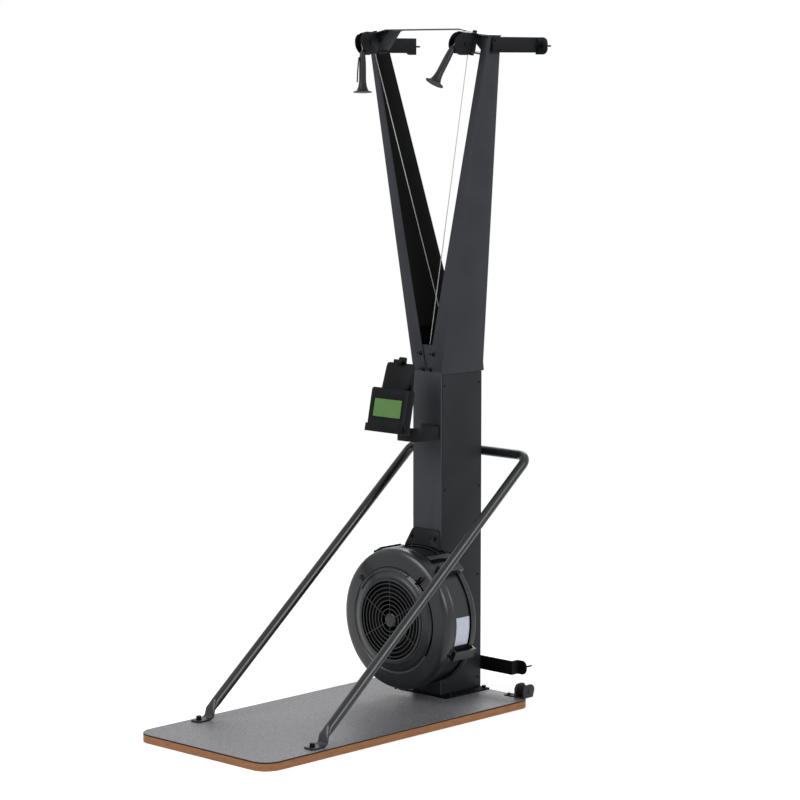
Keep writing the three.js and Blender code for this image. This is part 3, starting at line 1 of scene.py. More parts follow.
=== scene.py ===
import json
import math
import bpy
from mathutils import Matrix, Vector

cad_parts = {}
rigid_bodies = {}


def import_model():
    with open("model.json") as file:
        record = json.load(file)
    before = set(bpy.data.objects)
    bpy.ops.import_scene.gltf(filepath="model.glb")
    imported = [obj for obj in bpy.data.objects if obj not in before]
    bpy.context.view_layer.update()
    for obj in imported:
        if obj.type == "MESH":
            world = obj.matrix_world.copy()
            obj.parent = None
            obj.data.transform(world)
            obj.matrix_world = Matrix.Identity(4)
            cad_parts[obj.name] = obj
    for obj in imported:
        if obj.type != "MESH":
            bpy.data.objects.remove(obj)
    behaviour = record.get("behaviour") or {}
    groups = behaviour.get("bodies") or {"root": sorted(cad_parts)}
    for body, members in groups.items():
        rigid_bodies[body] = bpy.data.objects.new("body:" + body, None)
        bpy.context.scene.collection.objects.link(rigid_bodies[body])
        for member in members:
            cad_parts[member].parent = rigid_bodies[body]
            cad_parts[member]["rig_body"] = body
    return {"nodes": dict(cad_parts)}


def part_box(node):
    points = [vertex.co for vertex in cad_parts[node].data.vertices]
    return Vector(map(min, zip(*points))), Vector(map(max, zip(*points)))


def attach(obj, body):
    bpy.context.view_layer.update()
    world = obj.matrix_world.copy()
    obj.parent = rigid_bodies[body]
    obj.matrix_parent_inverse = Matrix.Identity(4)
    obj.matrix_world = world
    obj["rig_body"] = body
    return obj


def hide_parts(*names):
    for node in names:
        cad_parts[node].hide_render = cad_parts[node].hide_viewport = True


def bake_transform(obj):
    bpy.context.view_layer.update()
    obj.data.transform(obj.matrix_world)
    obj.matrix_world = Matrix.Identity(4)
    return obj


bl_info = {
    "name": "Ski Trainer Dressing",
    "version": (1, 0, 0),
    "blender": (4, 5, 0),
    "location": "3D View > Sidebar > Trainer",
    "description": "Makes the visible pieces and finishes of a standing ski trainer round its packed model",
    "category": "Object",
}

import bmesh
import bpy
from bpy.props import FloatProperty, FloatVectorProperty, IntProperty, PointerProperty
from mathutils import Matrix, Vector

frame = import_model()

MM = 0.001
SIDES = {"left": -1, "right": 1}
UP = Vector((0, 0, 1))
FORWARD = Vector((0, -1, 0))

# The machine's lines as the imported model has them: lengths in millimetres, the lugs' angles in degrees
# and the other angles in radians
DECK_HALF_WIDTH = 300.0
DECK_HALF_LENGTH = 615.0
DECK_CORNER = 58.0
BOARD_TOP = 24.0
DECK_TOP = 29.0
PLATE_TOP = 34.0
FAN_HEIGHT = 306.0
FAN_BACK = 407.0
SPACER_X = 105.0
SPACER_Z = 514.0
LUG_ANGLES = [48 + 72 * i for i in range(5)]
LUG_FRONT = 290.6
LUG_REACH = 249.0
GRILLE_BACK = 240.0
DAMPER_FRONT = 263.0
DAMPER_BACK = 265.0
COLUMN_FRONT = 415.0
COLUMN_BACK = 615.0
PANEL_FACE = 64.0
FOOT_X = 261.0
SUPPORT_TOP = 840.0
TUBE_RADIUS = 16.0
SWIVEL_POINT = Vector((216.47, 399.0, 2198.64))
PIN_LEAN = math.atan2(21, 104)
LEFT_SWIVEL_TURN = math.radians(8)
PULLEY_FORWARD = 50.0
PULLEY_RADIUS = 32.0
HANDLE_DROP = 26.0
HANDLE_LEAN = {"left": math.radians(3), "right": math.radians(28)}
HANDLE_PLUMB = {"left": math.radians(8), "right": 0.0}
STRAP_TURN = {"left": -math.pi / 4, "right": -3 * math.pi / 4}
DRUM_Y = {"left": 539.0, "right": 445.0}
DRUM_X = -16.5
GUIDE_HEIGHT = 1194.5
CORD_RADIUS = 1.5
CORD_STOP = 17.0
CORD_GAP = 0.6
MONITOR_PIVOT = Vector((0, 254, 938))
MONITOR_TILT = math.radians(11.5)

# The camera, solved from the photograph
PHOTO_WIDTH = 800
FOCAL_PIXELS = 2771.1
SENSOR_WIDTH = 36
CAMERA_PLACE = (6.2551, -6.2534, 2.1293)
CAMERA_YAW = math.radians(43.729)
CAMERA_PITCH = math.radians(6.888)


def linear(code):
    """A colour's linear parts, from its sRGB hex code."""
    parts = [int(code[i:i + 2], 16) / 255 for i in (1, 3, 5)]
    return tuple(p / 12.92 if p <= 0.04045 else ((p + 0.055) / 1.055) ** 2.4 for p in parts)


def colour(name, description, code):
    return FloatVectorProperty(
        name=name, description=description, subtype="COLOR", size=3, min=0, max=1, default=linear(code)
    )


def measure(name, description, millimetres):
    return FloatProperty(name=name, description=description, default=millimetres * MM, unit="LENGTH")


class TrainerColours(bpy.types.PropertyGroup):
    """The colours of the trainer's finishes."""

    steel: colour("Steel paint", "Powder coat of the column and the arms", "#303237")
    # Black paint; on the lower wall bracket its darkness also stands in as painted shade
    black_steel: colour("Black paint", "Powder coat of the brackets, straps and pulley heads", "#141517")
    # Painted shade: a near black for the arms' inner faces and for the base plate under the column
    channel: colour("Channel paint", "Thin coat inside the arms and under the column", "#0b0c0d")
    panel: colour("Panel paint", "Powder coat of the column's side panels", "#232528")
    tube: colour("Tube paint", "Powder coat of the support tube", "#15171a")
    housing: colour("Fan moulding", "Moulded plastic of the fan's housing", "#14161a")
    dark_plastic: colour("Dark plastic", "Moulded plastic of the monitor and pulleys", "#0d0e10")
    # Near black of the flywheel and the damper, also used as painted shade in the lugs' pockets and behind
    # the hood
    blade: colour("Blade plastic", "Moulded plastic of the flywheel and the damper", "#070708")
    mat: colour("Deck mat", "Pale granules in the deck's rubber mat", "#707074")
    mat_dark: colour("Deck mat, dark", "Dark granules in the deck's rubber mat", "#48484b")
    plywood: colour("Plywood", "Sealed edge of the deck's board", "#9b6d4a")
    plywood_dark: colour("Plywood, dark", "Darker plies of the deck's board", "#845c3f")
    rubber: colour("Black rubber", "Tyres, edging and the sheet under the deck", "#0d0d0e")
    grip: colour("Grip rubber", "Soft rubber of the handles", "#1a1b1e")
    webbing: colour("Webbing", "Wrist straps", "#101012")
    cord: colour("Cord", "Braided drive cords", "#c4c4c3")
    zinc: colour("Black zinc", "Plating of the bolts and screws", "#1b1c1e")
    bright_steel: colour("Bright steel", "Ground steel of the bearings", "#c3c6ca")
    display: colour("Display", "Liquid crystal panel of the monitor", "#588048")
    patch: colour("Pale patch", "Plain foil patch on the fan's band", "#b4b9c6")


class TrainerSizes(bpy.types.PropertyGroup):
    """The small sizes of the trainer's dressing."""

    sheet_edge: measure("Sheet edge", "Rounding of folded and cut steel edges", 0.8)
    moulded_edge: measure("Moulded edge", "Rounding of moulded plastic edges", 1.4)
    grille_rings: IntProperty(
        name="Grille rings", description="Rings between the grille's hub and rim", default=7, min=3, max=12
    )
    grille_bar: measure("Grille bar", "Thickness of each grille ring", 3.6)


def add_node(tree, kind, inputs=None, **settings):
    """Adds a node with its own settings, and its inputs as values or as links."""
    node = tree.nodes.new(kind)
    for name, value in settings.items():
        setattr(node, name, value)
    for name, value in (inputs or {}).items():
        if isinstance(value, bpy.types.NodeSocket):
            tree.links.new(value, node.inputs[name])
        else:
            node.inputs[name].default_value = value
    return node


def per_metre(millimetres):
    """The texture scale at which one cell of a pattern measures that many millimetres."""
    return 1 / (millimetres * MM)


def rgba(tone, share=1.0):
    return (tone[0] * share, tone[1] * share, tone[2] * share, 1.0)


def plain_finish(name, **sockets):
    """A material with its node tree and its shader."""
    material = bpy.data.materials.new(name)
    material.use_nodes = True
    shader = material.node_tree.nodes["Principled BSDF"]
    for socket, value in sockets.items():
        shader.inputs[socket.replace("_", " ")].default_value = value
    return material, material.node_tree, shader


def new_finish(name, **sockets):
    """A material with its node tree, its shader and its object coordinates."""
    material, tree, shader = plain_finish(name, **sockets)
    return material, tree, shader, add_node(tree, "ShaderNodeTexCoord").outputs["Object"]


def noise(tree, place, millimetres, detail, **more):
    """A cloudy pattern whose cells measure that many millimetres."""
    inputs = {"Vector": place, "Scale": per_metre(millimetres), "Detail": detail, **more}
    return add_node(tree, "ShaderNodeTexNoise", inputs).outputs["Fac"]


def bands(tree, place, millimetres, direction, distortion, **more):
    """Bands that repeat every so many millimetres. At a scale of 1 the node's own bands
    repeat 20 times in 2 pi metres."""
    scale = 2 * math.pi / 20 * per_metre(millimetres)
    inputs = {"Vector": place, "Scale": scale, "Distortion": distortion, **more}
    wave = add_node(tree, "ShaderNodeTexWave", inputs, wave_type="BANDS", bands_direction=direction)
    return wave.outputs["Fac"]


def maths(tree, operation, first, second):
    return add_node(tree, "ShaderNodeMath", {0: first, 1: second}, operation=operation).outputs[0]


def two_tone(tree, factor, low, high, from_low=0.35, from_high=0.65):
    """A colour that runs from one tone to another as a pattern's value rises."""
    ramp = add_node(tree, "ShaderNodeValToRGB", {"Fac": factor})
    for element, position, tone in zip(ramp.color_ramp.elements, (from_low, from_high), (low, high)):
        element.position = position
        element.color = tone
    return ramp.outputs["Color"]


def spread(tree, factor, low, high):
    """A pattern's value from 0 to 1 brought into a narrower range."""
    mapped = add_node(tree, "ShaderNodeMapRange", {"Value": factor, "To Min": low, "To Max": high})
    return mapped.outputs["Result"]


def paint(tree, shader, tone, dull=None):
    """Links a colour to a shader, and a roughness where it varies."""
    tree.links.new(tone, shader.inputs["Base Color"])
    if dull:
        tree.links.new(dull, shader.inputs["Roughness"])


def drift(tree, shader, cloud, tone, shares, dulls, **ends):
    """Lets a finish's tone and roughness drift between two values with a cloudy pattern."""
    low, high = (rgba(tone, share) for share in shares)
    paint(tree, shader, two_tone(tree, cloud, low, high, **ends), spread(tree, cloud, *dulls))


def relief(tree, shader, height, millimetres, strength):
    inputs = {"Height": height, "Distance": millimetres * MM, "Strength": strength}
    bump = add_node(tree, "ShaderNodeBump", inputs)
    tree.links.new(bump.outputs["Normal"], shader.inputs["Normal"])


def powder_coat(name, tone, roughness, gloss):
    """Polyester powder coat, baked on steel: an even satin skin with a faint orange peel,
    2 mm in the real one, drawn at 4 mm so that it shows."""
    material, tree, shader, place = new_finish(name, IOR=1.5, Specular_IOR_Level=gloss)
    broad = noise(tree, place, 160, 3.0)
    drift(tree, shader, broad, tone, (0.9, 1.12), (roughness - 0.05, roughness + 0.06))
    relief(tree, shader, noise(tree, place, 4, 2.0), 0.06, 0.25)
    return material


def moulded_abs(name, tone, roughness, grain, gloss):
    """ABS, moulded in a spark-eroded tool: a fine even grain that spreads each highlight,
    and smoother high spots where hands and cloths have rubbed it."""
    material, tree, shader, place = new_finish(name, IOR=1.53, Specular_IOR_Level=gloss)
    spark = add_node(tree, "ShaderNodeTexVoronoi", {"Vector": place, "Scale": per_metre(grain)})
    broad = noise(tree, place, 90, 4.0)
    drift(tree, shader, broad, tone, (0.88, 1.15), (roughness - 0.07, roughness + 0.07))
    relief(tree, shader, spark.outputs["Distance"], 0.07, 0.2)
    return material


def granulated_rubber(name, pale, dark):
    """Granulated rubber sheet, pressed: grey crumbs of about 2 mm in mixed tones, with a
    pebbled satin surface that turns pale at a flat angle, and a few paler and darker crumbs."""
    material, tree, shader, place = new_finish(name, IOR=1.52, Specular_IOR_Level=0.85)
    crumbs = add_node(tree, "ShaderNodeTexVoronoi", {"Vector": place, "Scale": per_metre(2)})
    parts = add_node(tree, "ShaderNodeSeparateColor", {"Color": crumbs.outputs["Color"]})
    ramp = add_node(tree, "ShaderNodeValToRGB", {"Fac": parts.outputs["Red"]})
    ramp.color_ramp.interpolation = "CONSTANT"
    ramp.color_ramp.elements[0].color = rgba(dark, 0.7)
    ramp.color_ramp.elements[1].position = 0.16
    ramp.color_ramp.elements[1].color = rgba(dark)
    for position, tone in ((0.42, rgba(pale, 0.8)), (0.66, rgba(pale)), (0.95, rgba(pale, 1.35))):
        ramp.color_ramp.elements.new(position).color = tone
    wear = spread(tree, noise(tree, place, 240, 4.0), 0.0, 0.3)
    inputs = {0: wear, 6: ramp.outputs["Color"], 7: (0.7, 0.7, 0.72, 1)}
    worn = add_node(tree, "ShaderNodeMix", inputs, data_type="RGBA", blend_type="MULTIPLY")
    paint(tree, shader, worn.outputs[2], spread(tree, parts.outputs["Green"], 0.4, 0.52))
    relief(tree, shader, crumbs.outputs["Distance"], 0.2, 0.3)
    return material


def birch_plywood(name, pale, dark):
    """Birch plywood, sawn and sealed: thin plies of 2.4 mm whose end grain and long grain
    alternate, warm brown under the sealer, with short pores along the edge."""
    material, tree, shader, place = new_finish(name, IOR=1.5, Specular_IOR_Level=0.2)
    plies = bands(tree, place, 4.8, "Z", 0.6, **{"Detail": 2.0, "Detail Scale": 3.0})
    stretched = add_node(tree, "ShaderNodeMapping", {"Vector": place, "Scale": (1.0, 1.0, 6.0)})
    fibres = noise(tree, stretched.outputs["Vector"], 32, 6.0, Roughness=0.65)
    both = maths(tree, "ADD", fibres, spread(tree, plies, -0.06, 0.06))
    tone = two_tone(tree, both, rgba(dark), rgba(pale, 1.12), 0.3, 0.7)
    paint(tree, shader, tone, spread(tree, fibres, 0.5, 0.72))
    relief(tree, shader, both, 0.25, 0.3)
    return material


def soft_rubber(name, tone, roughness, gloss):
    """Soft moulded rubber: matt and slightly uneven, with a bloom of paler dust."""
    material, tree, shader, place = new_finish(name, IOR=1.52, Specular_IOR_Level=gloss)
    bloom = noise(tree, place, 25, 6.0)
    dulls = (roughness - 0.06, roughness + 0.05)
    drift(tree, shader, bloom, tone, (0.85, 1.35), dulls, from_low=0.3, from_high=0.75)
    relief(tree, shader, noise(tree, place, 1.2, 2.0), 0.1, 0.4)
    return material


def woven(name, strands, low, high, widest, **sockets):
    """Polyester yarn: raised strands, whose pattern gets its size, direction and unevenness,
    with a soft sheen, and painted shade in the valleys and painted light on the crests."""
    material, tree, shader, place = new_finish(name, IOR=1.5, **sockets)
    height = bands(tree, place, *strands)
    # The colour follows the strands' height: painted shade in the valleys, painted light on the crests
    paint(tree, shader, two_tone(tree, height, low, high, 0.1, widest))
    relief(tree, shader, height, 0.3, 0.6)
    return material


def woven_webbing(name, tone):
    """Polyester webbing, woven flat: ribs across the strap every 1.5 mm."""
    gloss = {"Roughness": 0.85, "Specular_IOR_Level": 0.2, "Sheen_Weight": 0.25, "Sheen_Roughness": 0.5}
    return woven(name, (1.5, "Z", 0.4), rgba(tone, 0.7), rgba(tone, 1.6), 0.9, **gloss)


def braided_cord(name, tone):
    """Braided polyester cord: strands that cross every 2 mm, pale grey, darker in the valleys as painted
    shade.
    """
    gloss = {"Roughness": 0.75, "Specular_IOR_Level": 0.3, "Sheen_Weight": 0.2, "Sheen_Roughness": 0.4}
    return woven(name, (2, "DIAGONAL", 1.5), rgba(tone, 0.75), rgba(tone, 1.1), 0.6, **gloss)


def plated_steel(name, tone, roughness, patch):
    """Zinc-plated or ground steel: a metal whose tone and gloss drift in soft patches."""
    material, tree, shader, place = new_finish(name, Metallic=1.0)
    cloud = noise(tree, place, patch, 5.0)
    drift(tree, shader, cloud, tone, (0.75, 1.15), (roughness - 0.08, roughness + 0.1))
    relief(tree, shader, cloud, 0.05, 0.2)
    return material


def liquid_crystal(name, tone):
    """A reflective liquid crystal panel behind a clear window: flat green with a very faint
    cloud, and a hard gloss from the window."""
    material, tree, shader, place = new_finish(
        name, IOR=1.5, Roughness=0.4, Specular_IOR_Level=0.1, Coat_Weight=0.15, Coat_Roughness=0.06
    )
    cloud = noise(tree, place, 45, 2.0)
    paint(tree, shader, two_tone(tree, cloud, rgba(tone, 0.97), rgba(tone, 1.03)))
    return material


def foil_patch(name, tone):
    """Plain matt foil, stuck on: pale, smooth and a little metallic."""
    material, tree, shader, place = new_finish(name, IOR=1.5, Metallic=0.2, Specular_IOR_Level=0.5)
    drift(tree, shader, noise(tree, place, 30, 3.0), tone, (0.94, 1.05), (0.35, 0.5))
    return material


# Each finish: the record's slot that it belongs to, its maker, its colours and the maker's other values
FINISHES = {
    "steel_coat": ("steel_paint", powder_coat, ["steel"], 0.5, 0.13),
    "column_coat": ("steel_paint", powder_coat, ["steel"], 0.6, 0.28),
    # Black paint of brackets, straps and heads, also the painted shade of the lower wall bracket
    "black_coat": ("steel_paint", powder_coat, ["black_steel"], 0.42, 0.09),
    # Painted shade on the arms' inner faces and on the base plate
    "channel_coat": ("steel_paint", powder_coat, ["channel"], 0.6, 0.05),
    "panel_coat": ("panel_paint", powder_coat, ["panel"], 0.54, 0.13),
    "tube_coat": ("steel_paint", powder_coat, ["tube"], 0.3, 0.4),
    "housing_abs": ("moulded_plastic", moulded_abs, ["housing"], 0.3, 1.6, 0.38),
    "dark_abs": ("dark_plastic", moulded_abs, ["dark_plastic"], 0.42, 1.6, 0.07),
    # Also the painted shade in the lugs' pockets and behind the hood
    "blade_abs": ("dark_plastic", moulded_abs, ["blade"], 0.6, 2.0, 0.04),
    "mat_rubber": ("deck_rubber", granulated_rubber, ["mat", "mat_dark"]),
    "plywood": ("plywood", birch_plywood, ["plywood", "plywood_dark"]),
    "black_rubber": ("black_rubber", soft_rubber, ["rubber"], 0.8, 0.25),
    "grip_rubber": ("grip_rubber", soft_rubber, ["grip"], 0.46, 0.2),
    "webbing": ("webbing", woven_webbing, ["webbing"]),
    "cord_braid": ("cord_fibre", braided_cord, ["cord"]),
    "black_zinc": ("zinc_steel", plated_steel, ["zinc"], 0.45, 12),
    "ground_steel": ("bright_steel", plated_steel, ["bright_steel"], 0.26, 20),
    "display": ("screen_glass", liquid_crystal, ["display"]),
    "patch_foil": ("moulded_plastic", foil_patch, ["patch"]),
}


def finish(name):
    """The material of a finish, made when it is first asked for."""
    title = f"trainer_{name}"
    _, make, words, *values = FINISHES[name]
    tones = [getattr(bpy.context.scene.trainer_colours, word) for word in words]
    return bpy.data.materials.get(title) or make(title, *tones, *values)


HERE = Matrix.Identity(4)
# A smaller radius is a point on the axis, nearer points are one, and edges nearer to flat go
TINY = 1e-6
WELD = 0.02
FLAT = math.radians(1.5)


def circle(radius, steps):
    angles = [2 * math.pi * i / steps for i in range(steps)]
    return [(radius * math.cos(angle), radius * math.sin(angle)) for angle in angles]


def rectangle(low, high):
    return [(low[0], low[1]), (high[0], low[1]), (high[0], high[1]), (low[0], high[1])]


def rounded_rectangle(half_x, half_y, corner, steps=10):
    points = []
    for k, (sx, sy) in enumerate(((1, 1), (-1, 1), (-1, -1), (1, -1))):
        for i in range(steps + 1):
            angle = math.pi / 2 * (k + i / steps)
            x = sx * (half_x - corner) + corner * math.cos(angle)
            y = sy * (half_y - corner) + corner * math.sin(angle)
            points.append((x, y))
    return points


def moved(points, across, up):
    return [(x + across, y + up) for x, y in points]


def mirrored(half, *middle):
    """A profile of (radius, height) with its mirror image above it."""
    return [*half, *middle, *((radius, -height) for radius, height in reversed(half))]


def bend(start, corner, end, steps):
    """Points on a curve that leaves one point towards a corner and ends at another point."""
    shares = [i / steps for i in range(steps + 1)]
    return [start * (1 - t) ** 2 + corner * 2 * t * (1 - t) + end * t ** 2 for t in shares]


def eased(points, radius, steps=3, closed=True):
    """A line of 2-D points with each corner rounded by up to a radius."""
    rounded = []
    count = len(points)
    for i, corner in enumerate(points):
        here = Vector(corner)
        before = Vector(points[i - 1]) - here
        after = Vector(points[(i + 1) % count]) - here
        reach = min(radius, before.length * 0.45, after.length * 0.45)
        if reach < 0.05 or (not closed and i in (0, count - 1)):
            rounded.append(tuple(here))
            continue
        start = here + before.normalized() * reach
        end = here + after.normalized() * reach
        rounded += [tuple(point) for point in bend(start, here, end, steps)]
    return rounded


def bent_route(points, radius, steps):
    """The points of a line of straight runs and round bends."""
    corners = [Vector(p) for p in points]
    route = [corners[0]]
    for before, corner, after in zip(corners, corners[1:], corners[2:]):
        back = (before - corner).normalized()
        ahead = (after - corner).normalized()
        half = back.angle(ahead) / 2
        trim = radius / math.tan(half)
        centre = corner + (back + ahead).normalized() * (radius / math.sin(half))
        start = corner + back * trim - centre
        end = corner + ahead * trim - centre
        turn = start.angle(end)
        for step in range(steps + 1):
            t = step / steps
            from_start = math.sin((1 - t) * turn) / math.sin(turn)
            from_end = math.sin(t * turn) / math.sin(turn)
            route.append(centre + start * from_start + end * from_end)
    route.append(corners[-1])
    return route


def add_row(bm, place, points):
    """Adds vertices at points in millimetres, which are given in a place's own frame."""
    return [bm.verts.new((place @ Vector(point)) * MM) for point in points]


def bridge(bm, rows, closed=False):
    """Joins rows of vertices with faces. A row may be a single point. Where the rows don't
    come round to the first, a face closes each end that is not a point."""
    pairs = list(zip(rows, rows[1:]))
    if closed:
        pairs.append((rows[-1], rows[0]))
    faces = []
    for low, high in pairs:
        count = max(len(low), len(high))
        for i in range(count if count > 1 else 0):
            k = (i + 1) % count
            corners = (low[i % len(low)], low[k % len(low)], high[k % len(high)], high[i % len(high)])
            faces.append(bm.faces.new(tuple(dict.fromkeys(corners))))
    if not closed:
        faces += [bm.faces.new(row) for row in (rows[0][::-1], rows[-1]) if len(row) > 1]
    return faces


def turned(bm, profile, place, steps=64, closed=True):
    """Adds a profile of (radius, height), turned about the Z axis of a place."""
    rows = []
    for radius, height in profile:
        ring = circle(radius, steps if radius > TINY else 1)
        rows.append(add_row(bm, place, [(x, y, height) for x, y in ring]))
    bridge(bm, rows, closed)


def soften(bm, faces, radius, steps=2, angle=30):
    """Rounds the sharp edges of the given faces."""
    edges = {e for f in faces for e in f.edges}
    limit = math.radians(angle)
    sharp = [e for e in edges if len(e.link_faces) == 2 and e.calc_face_angle(0) > limit]
    if sharp and radius > 0:
        bmesh.ops.bevel(
            bm, geom=sharp, offset=radius * MM, segments=steps, profile=0.5, affect="EDGES",
            clamp_overlap=True,
        )


def prism(bm, outline, low, high, place=HERE, edge=0.0, steps=2):
    """Adds an outline of (x, y) as a slab from one height to another."""
    rows = [add_row(bm, place, [(x, y, height) for x, y in outline]) for height in (low, high)]
    soften(bm, bridge(bm, rows), edge, steps)


def block(bm, low, high, place=HERE, edge=0.6, steps=2):
    prism(bm, rectangle(low, high), low[2], high[2], place, edge, steps)


def swept(bm, line, section):
    """Carries a closed section of (across, out) along a line of points."""
    tangents = []
    for i in range(len(line)):
        before = line[max(0, i - 1)]
        after = line[min(len(line) - 1, i + 1)]
        tangents.append((after - before).normalized())
    side = tangents[0].orthogonal().normalized()
    rows = []
    for i, (point, tangent) in enumerate(zip(line, tangents)):
        if i:
            side = tangents[i - 1].rotation_difference(tangent) @ side
        side = (side - tangent * side.dot(tangent)).normalized()
        up = tangent.cross(side)
        rows.append(add_row(bm, HERE, [point + side * a + up * b for a, b in section]))
    bridge(bm, rows)


def facing(point, direction):
    """A place at a point whose Z axis looks along a direction."""
    turn = UP.rotation_difference(Vector(direction).normalized())
    return Matrix.Translation(Vector(point)) @ turn.to_matrix().to_4x4()


def looking_back(x, z):
    """A place whose Z axis runs to the back of the machine."""
    return Matrix.Translation((x, 0, z)) @ Matrix.Rotation(-math.pi / 2, 4, "X")


def fan_place(angle=0.0):
    """The fan's axis, with X turned up by an angle in degrees from the machine's right."""
    return looking_back(0, FAN_HEIGHT) @ Matrix.Rotation(-math.radians(angle), 4, "Z")


def fan_arc(radius, start, end, steps):
    """Points of the fan's own plane on an arc, from one angle in degrees to another."""
    angles = [math.radians(start + (end - start) * k / steps) for k in range(steps + 1)]
    return [(radius * math.cos(angle), -radius * math.sin(angle)) for angle in angles]


def round_fan(bm, section, start, end, steps):
    """Carries a closed section of (radius, y) round the fan, from one angle to another."""
    outline = [(radius, 0, y) for radius, y in section]
    places = [fan_place(start + (end - start) * k / steps) for k in range(steps + 1)]
    bridge(bm, [add_row(bm, place, outline) for place in places])


def into_scene(name, data):
    made = bpy.data.objects.new(name, data)
    bpy.context.scene.collection.objects.link(made)
    return made


def meshed(bm, name):
    """Makes an object of a mesh under construction."""
    mesh = bpy.data.meshes.new(name)
    bm.to_mesh(mesh)
    bm.free()
    return into_scene(name, mesh)


def finished(bm, name, finish_name, angle=180):
    """Makes a smooth object with its finish, whose edges above an angle stay sharp."""
    bmesh.ops.recalc_face_normals(bm, faces=bm.faces)
    made = meshed(bm, name)
    made.data.shade_smooth()
    made.data.set_sharp_from_angle(angle=math.radians(angle))
    made.data.materials.append(finish(finish_name))
    return made


def piece(bm, name, finish_name, node=None, body="frame", angle=35):
    """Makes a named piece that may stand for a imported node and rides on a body."""
    made = finished(bm, name, finish_name, angle)
    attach(made, body)
    if node:
        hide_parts(node)
    return made


def built(name, finish_name, node, *parts, body="frame", angle=35):
    """Makes a piece of parts. Each is given as the function that adds it and what that takes."""
    bm = bmesh.new()
    for add, *values in parts:
        add(bm, *values)
    return piece(bm, name, finish_name, node, body, angle)


def eased_copy(node, finish_name, share=1.0, size="sheet_edge", angle=35):
    """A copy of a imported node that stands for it, its edges rounded by a share of a chosen size."""
    edge = getattr(bpy.context.scene.trainer_sizes, size) * share
    source = frame["nodes"][node]
    bm = bmesh.new()
    bm.from_mesh(source.data)
    bmesh.ops.remove_doubles(bm, verts=bm.verts, dist=WELD * MM)
    bmesh.ops.dissolve_limit(bm, angle_limit=FLAT, verts=bm.verts, edges=bm.edges)
    soften(bm, list(bm.faces), edge / MM, 2, angle)
    return piece(bm, f"{node}_dressed", finish_name, node, source["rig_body"])


def coat(finish_name, *nodes):
    """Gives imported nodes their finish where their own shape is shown."""
    for node in nodes:
        mesh = frame["nodes"][node].data
        mesh.materials.clear()
        mesh.materials.append(finish(finish_name))


def subtract(target, name, add, *values):
    """Cuts what a function adds out of a piece."""
    bm = bmesh.new()
    add(bm, *values)
    bmesh.ops.recalc_face_normals(bm, faces=bm.faces)
    cutter = meshed(bm, name)
    cut = target.modifiers.new("cut", "BOOLEAN")
    cut.object = cutter
    cut.operation = "DIFFERENCE"
    cut.solver = "EXACT"
    shape = bpy.data.meshes.new_from_object(target.evaluated_get(bpy.context.evaluated_depsgraph_get()))
    target.modifiers.remove(cut)
    target.data = shape
    bpy.data.objects.remove(cutter)
    shape.set_sharp_from_angle(angle=math.radians(35))


def hex_bolt(bm, place, across, head, washer):
    """A hexagon head with a chamfered top and a washer under it, standing on a place."""
    seat = 1.4
    turned(bm, [(0, 0), (washer, 0), (washer, seat), (0, seat)], place, 24, closed=False)
    prism(bm, circle(across / math.sqrt(3), 6), seat, head, place, 0.6)


def socket_screw(bm, place, radius, head, recess):
    """A button head with a hexagon socket, standing on a place."""
    profile = [
        (0, 0), (radius, 0), (radius, 0.6), (radius * 0.86, head * 0.72), (radius * 0.55, head),
        (recess, head), (recess, head * 0.3), (0, head * 0.25),
    ]
    turned(bm, profile, place, 24, closed=False)


def fixings(name, *groups):
    """Makes one piece of screws or bolts. Each group is given as the function that adds one,
    the points, the way that they face and their sizes."""
    parts = []
    for add, points, direction, sizes in groups:
        parts += [(add, facing(point, direction), *sizes) for point in points]
    built(name, "black_zinc", None, *parts)


class TrainerStep:
    """What the trainer's operators share."""

    bl_options = {"REGISTER", "UNDO"}


def deck_outline(inset=0.0):
    return rounded_rectangle(DECK_HALF_WIDTH - inset, DECK_HALF_LENGTH - inset, DECK_CORNER - inset, 16)


class TRAINER_OT_deck(TrainerStep, bpy.types.Operator):
    """Deck: a plywood board with a granulated rubber mat on it and a rubber sheet under it"""

    bl_idname = "trainer.deck"
    bl_label = "Deck"

    # Half the underlay's width and length, its corners, and the gap round it in the board's recess
    underlay = (268, 583, 26)
    recess_gap = 0.5

    def execute(self, context):
        slab = (prism, deck_outline(), 0.6, BOARD_TOP, HERE, 1.4, 3)
        board = built("deck_board", "plywood", "platform_board", slab)
        recess = rounded_rectangle(*(size + self.recess_gap for size in self.underlay))
        subtract(board, "underlay_recess", prism, recess, -2.0, 5.3)
        top = (prism, deck_outline(1.2), 26.0, DECK_TOP, HERE, 0.9)
        built("deck_mat", "mat_rubber", "platform_mat", top)
        rim = (prism, deck_outline(0.2), 24.2, 27.8, HERE, 0.8)
        built("deck_mat_edging", "black_rubber", "platform_mat", rim)
        sheet = (prism, rounded_rectangle(*self.underlay), 0.0, 5.0, HERE, 0.8)
        built("deck_underlay", "black_rubber", "rubber_underlay", sheet)
        return {"FINISHED"}


class TRAINER_OT_column(TrainerStep, bpy.types.Operator):
    """Column: pressed steel column, side panels with their screws, and the bolted base plate"""

    bl_idname = "trainer.column"
    bl_label = "Column"

    panel_screws = (
        (433, 1075), (604.5, 1074.5), (434, 727), (604, 723.5),
        (434, 421.5), (599, 421.5), (600.6, 67.5), (434, 67.5),
    )

    def execute(self, context):
        eased_copy("column_frame", "column_coat", 1.6)
        # The base plate under the column gets the near black of painted shade
        eased_copy("base_plate", "channel_coat")
        for word in SIDES:
            eased_copy(f"{word}_side_panel", "panel_coat", 0.6)
        bolts = [(x, y, PLATE_TOP) for x in (-92, 92) for y in (429, 601)]
        fixings("base_bolts", (hex_bolt, bolts, UP, (13.0, 8.5, 9.0)))
        for word, side in SIDES.items():
            points = [(side * PANEL_FACE, y, z) for y, z in self.panel_screws]
            fixings(f"{word}_panel_screws", (socket_screw, points, (side, 0, 0), (4.4, 1.8, 2.0)))
        return {"FINISHED"}


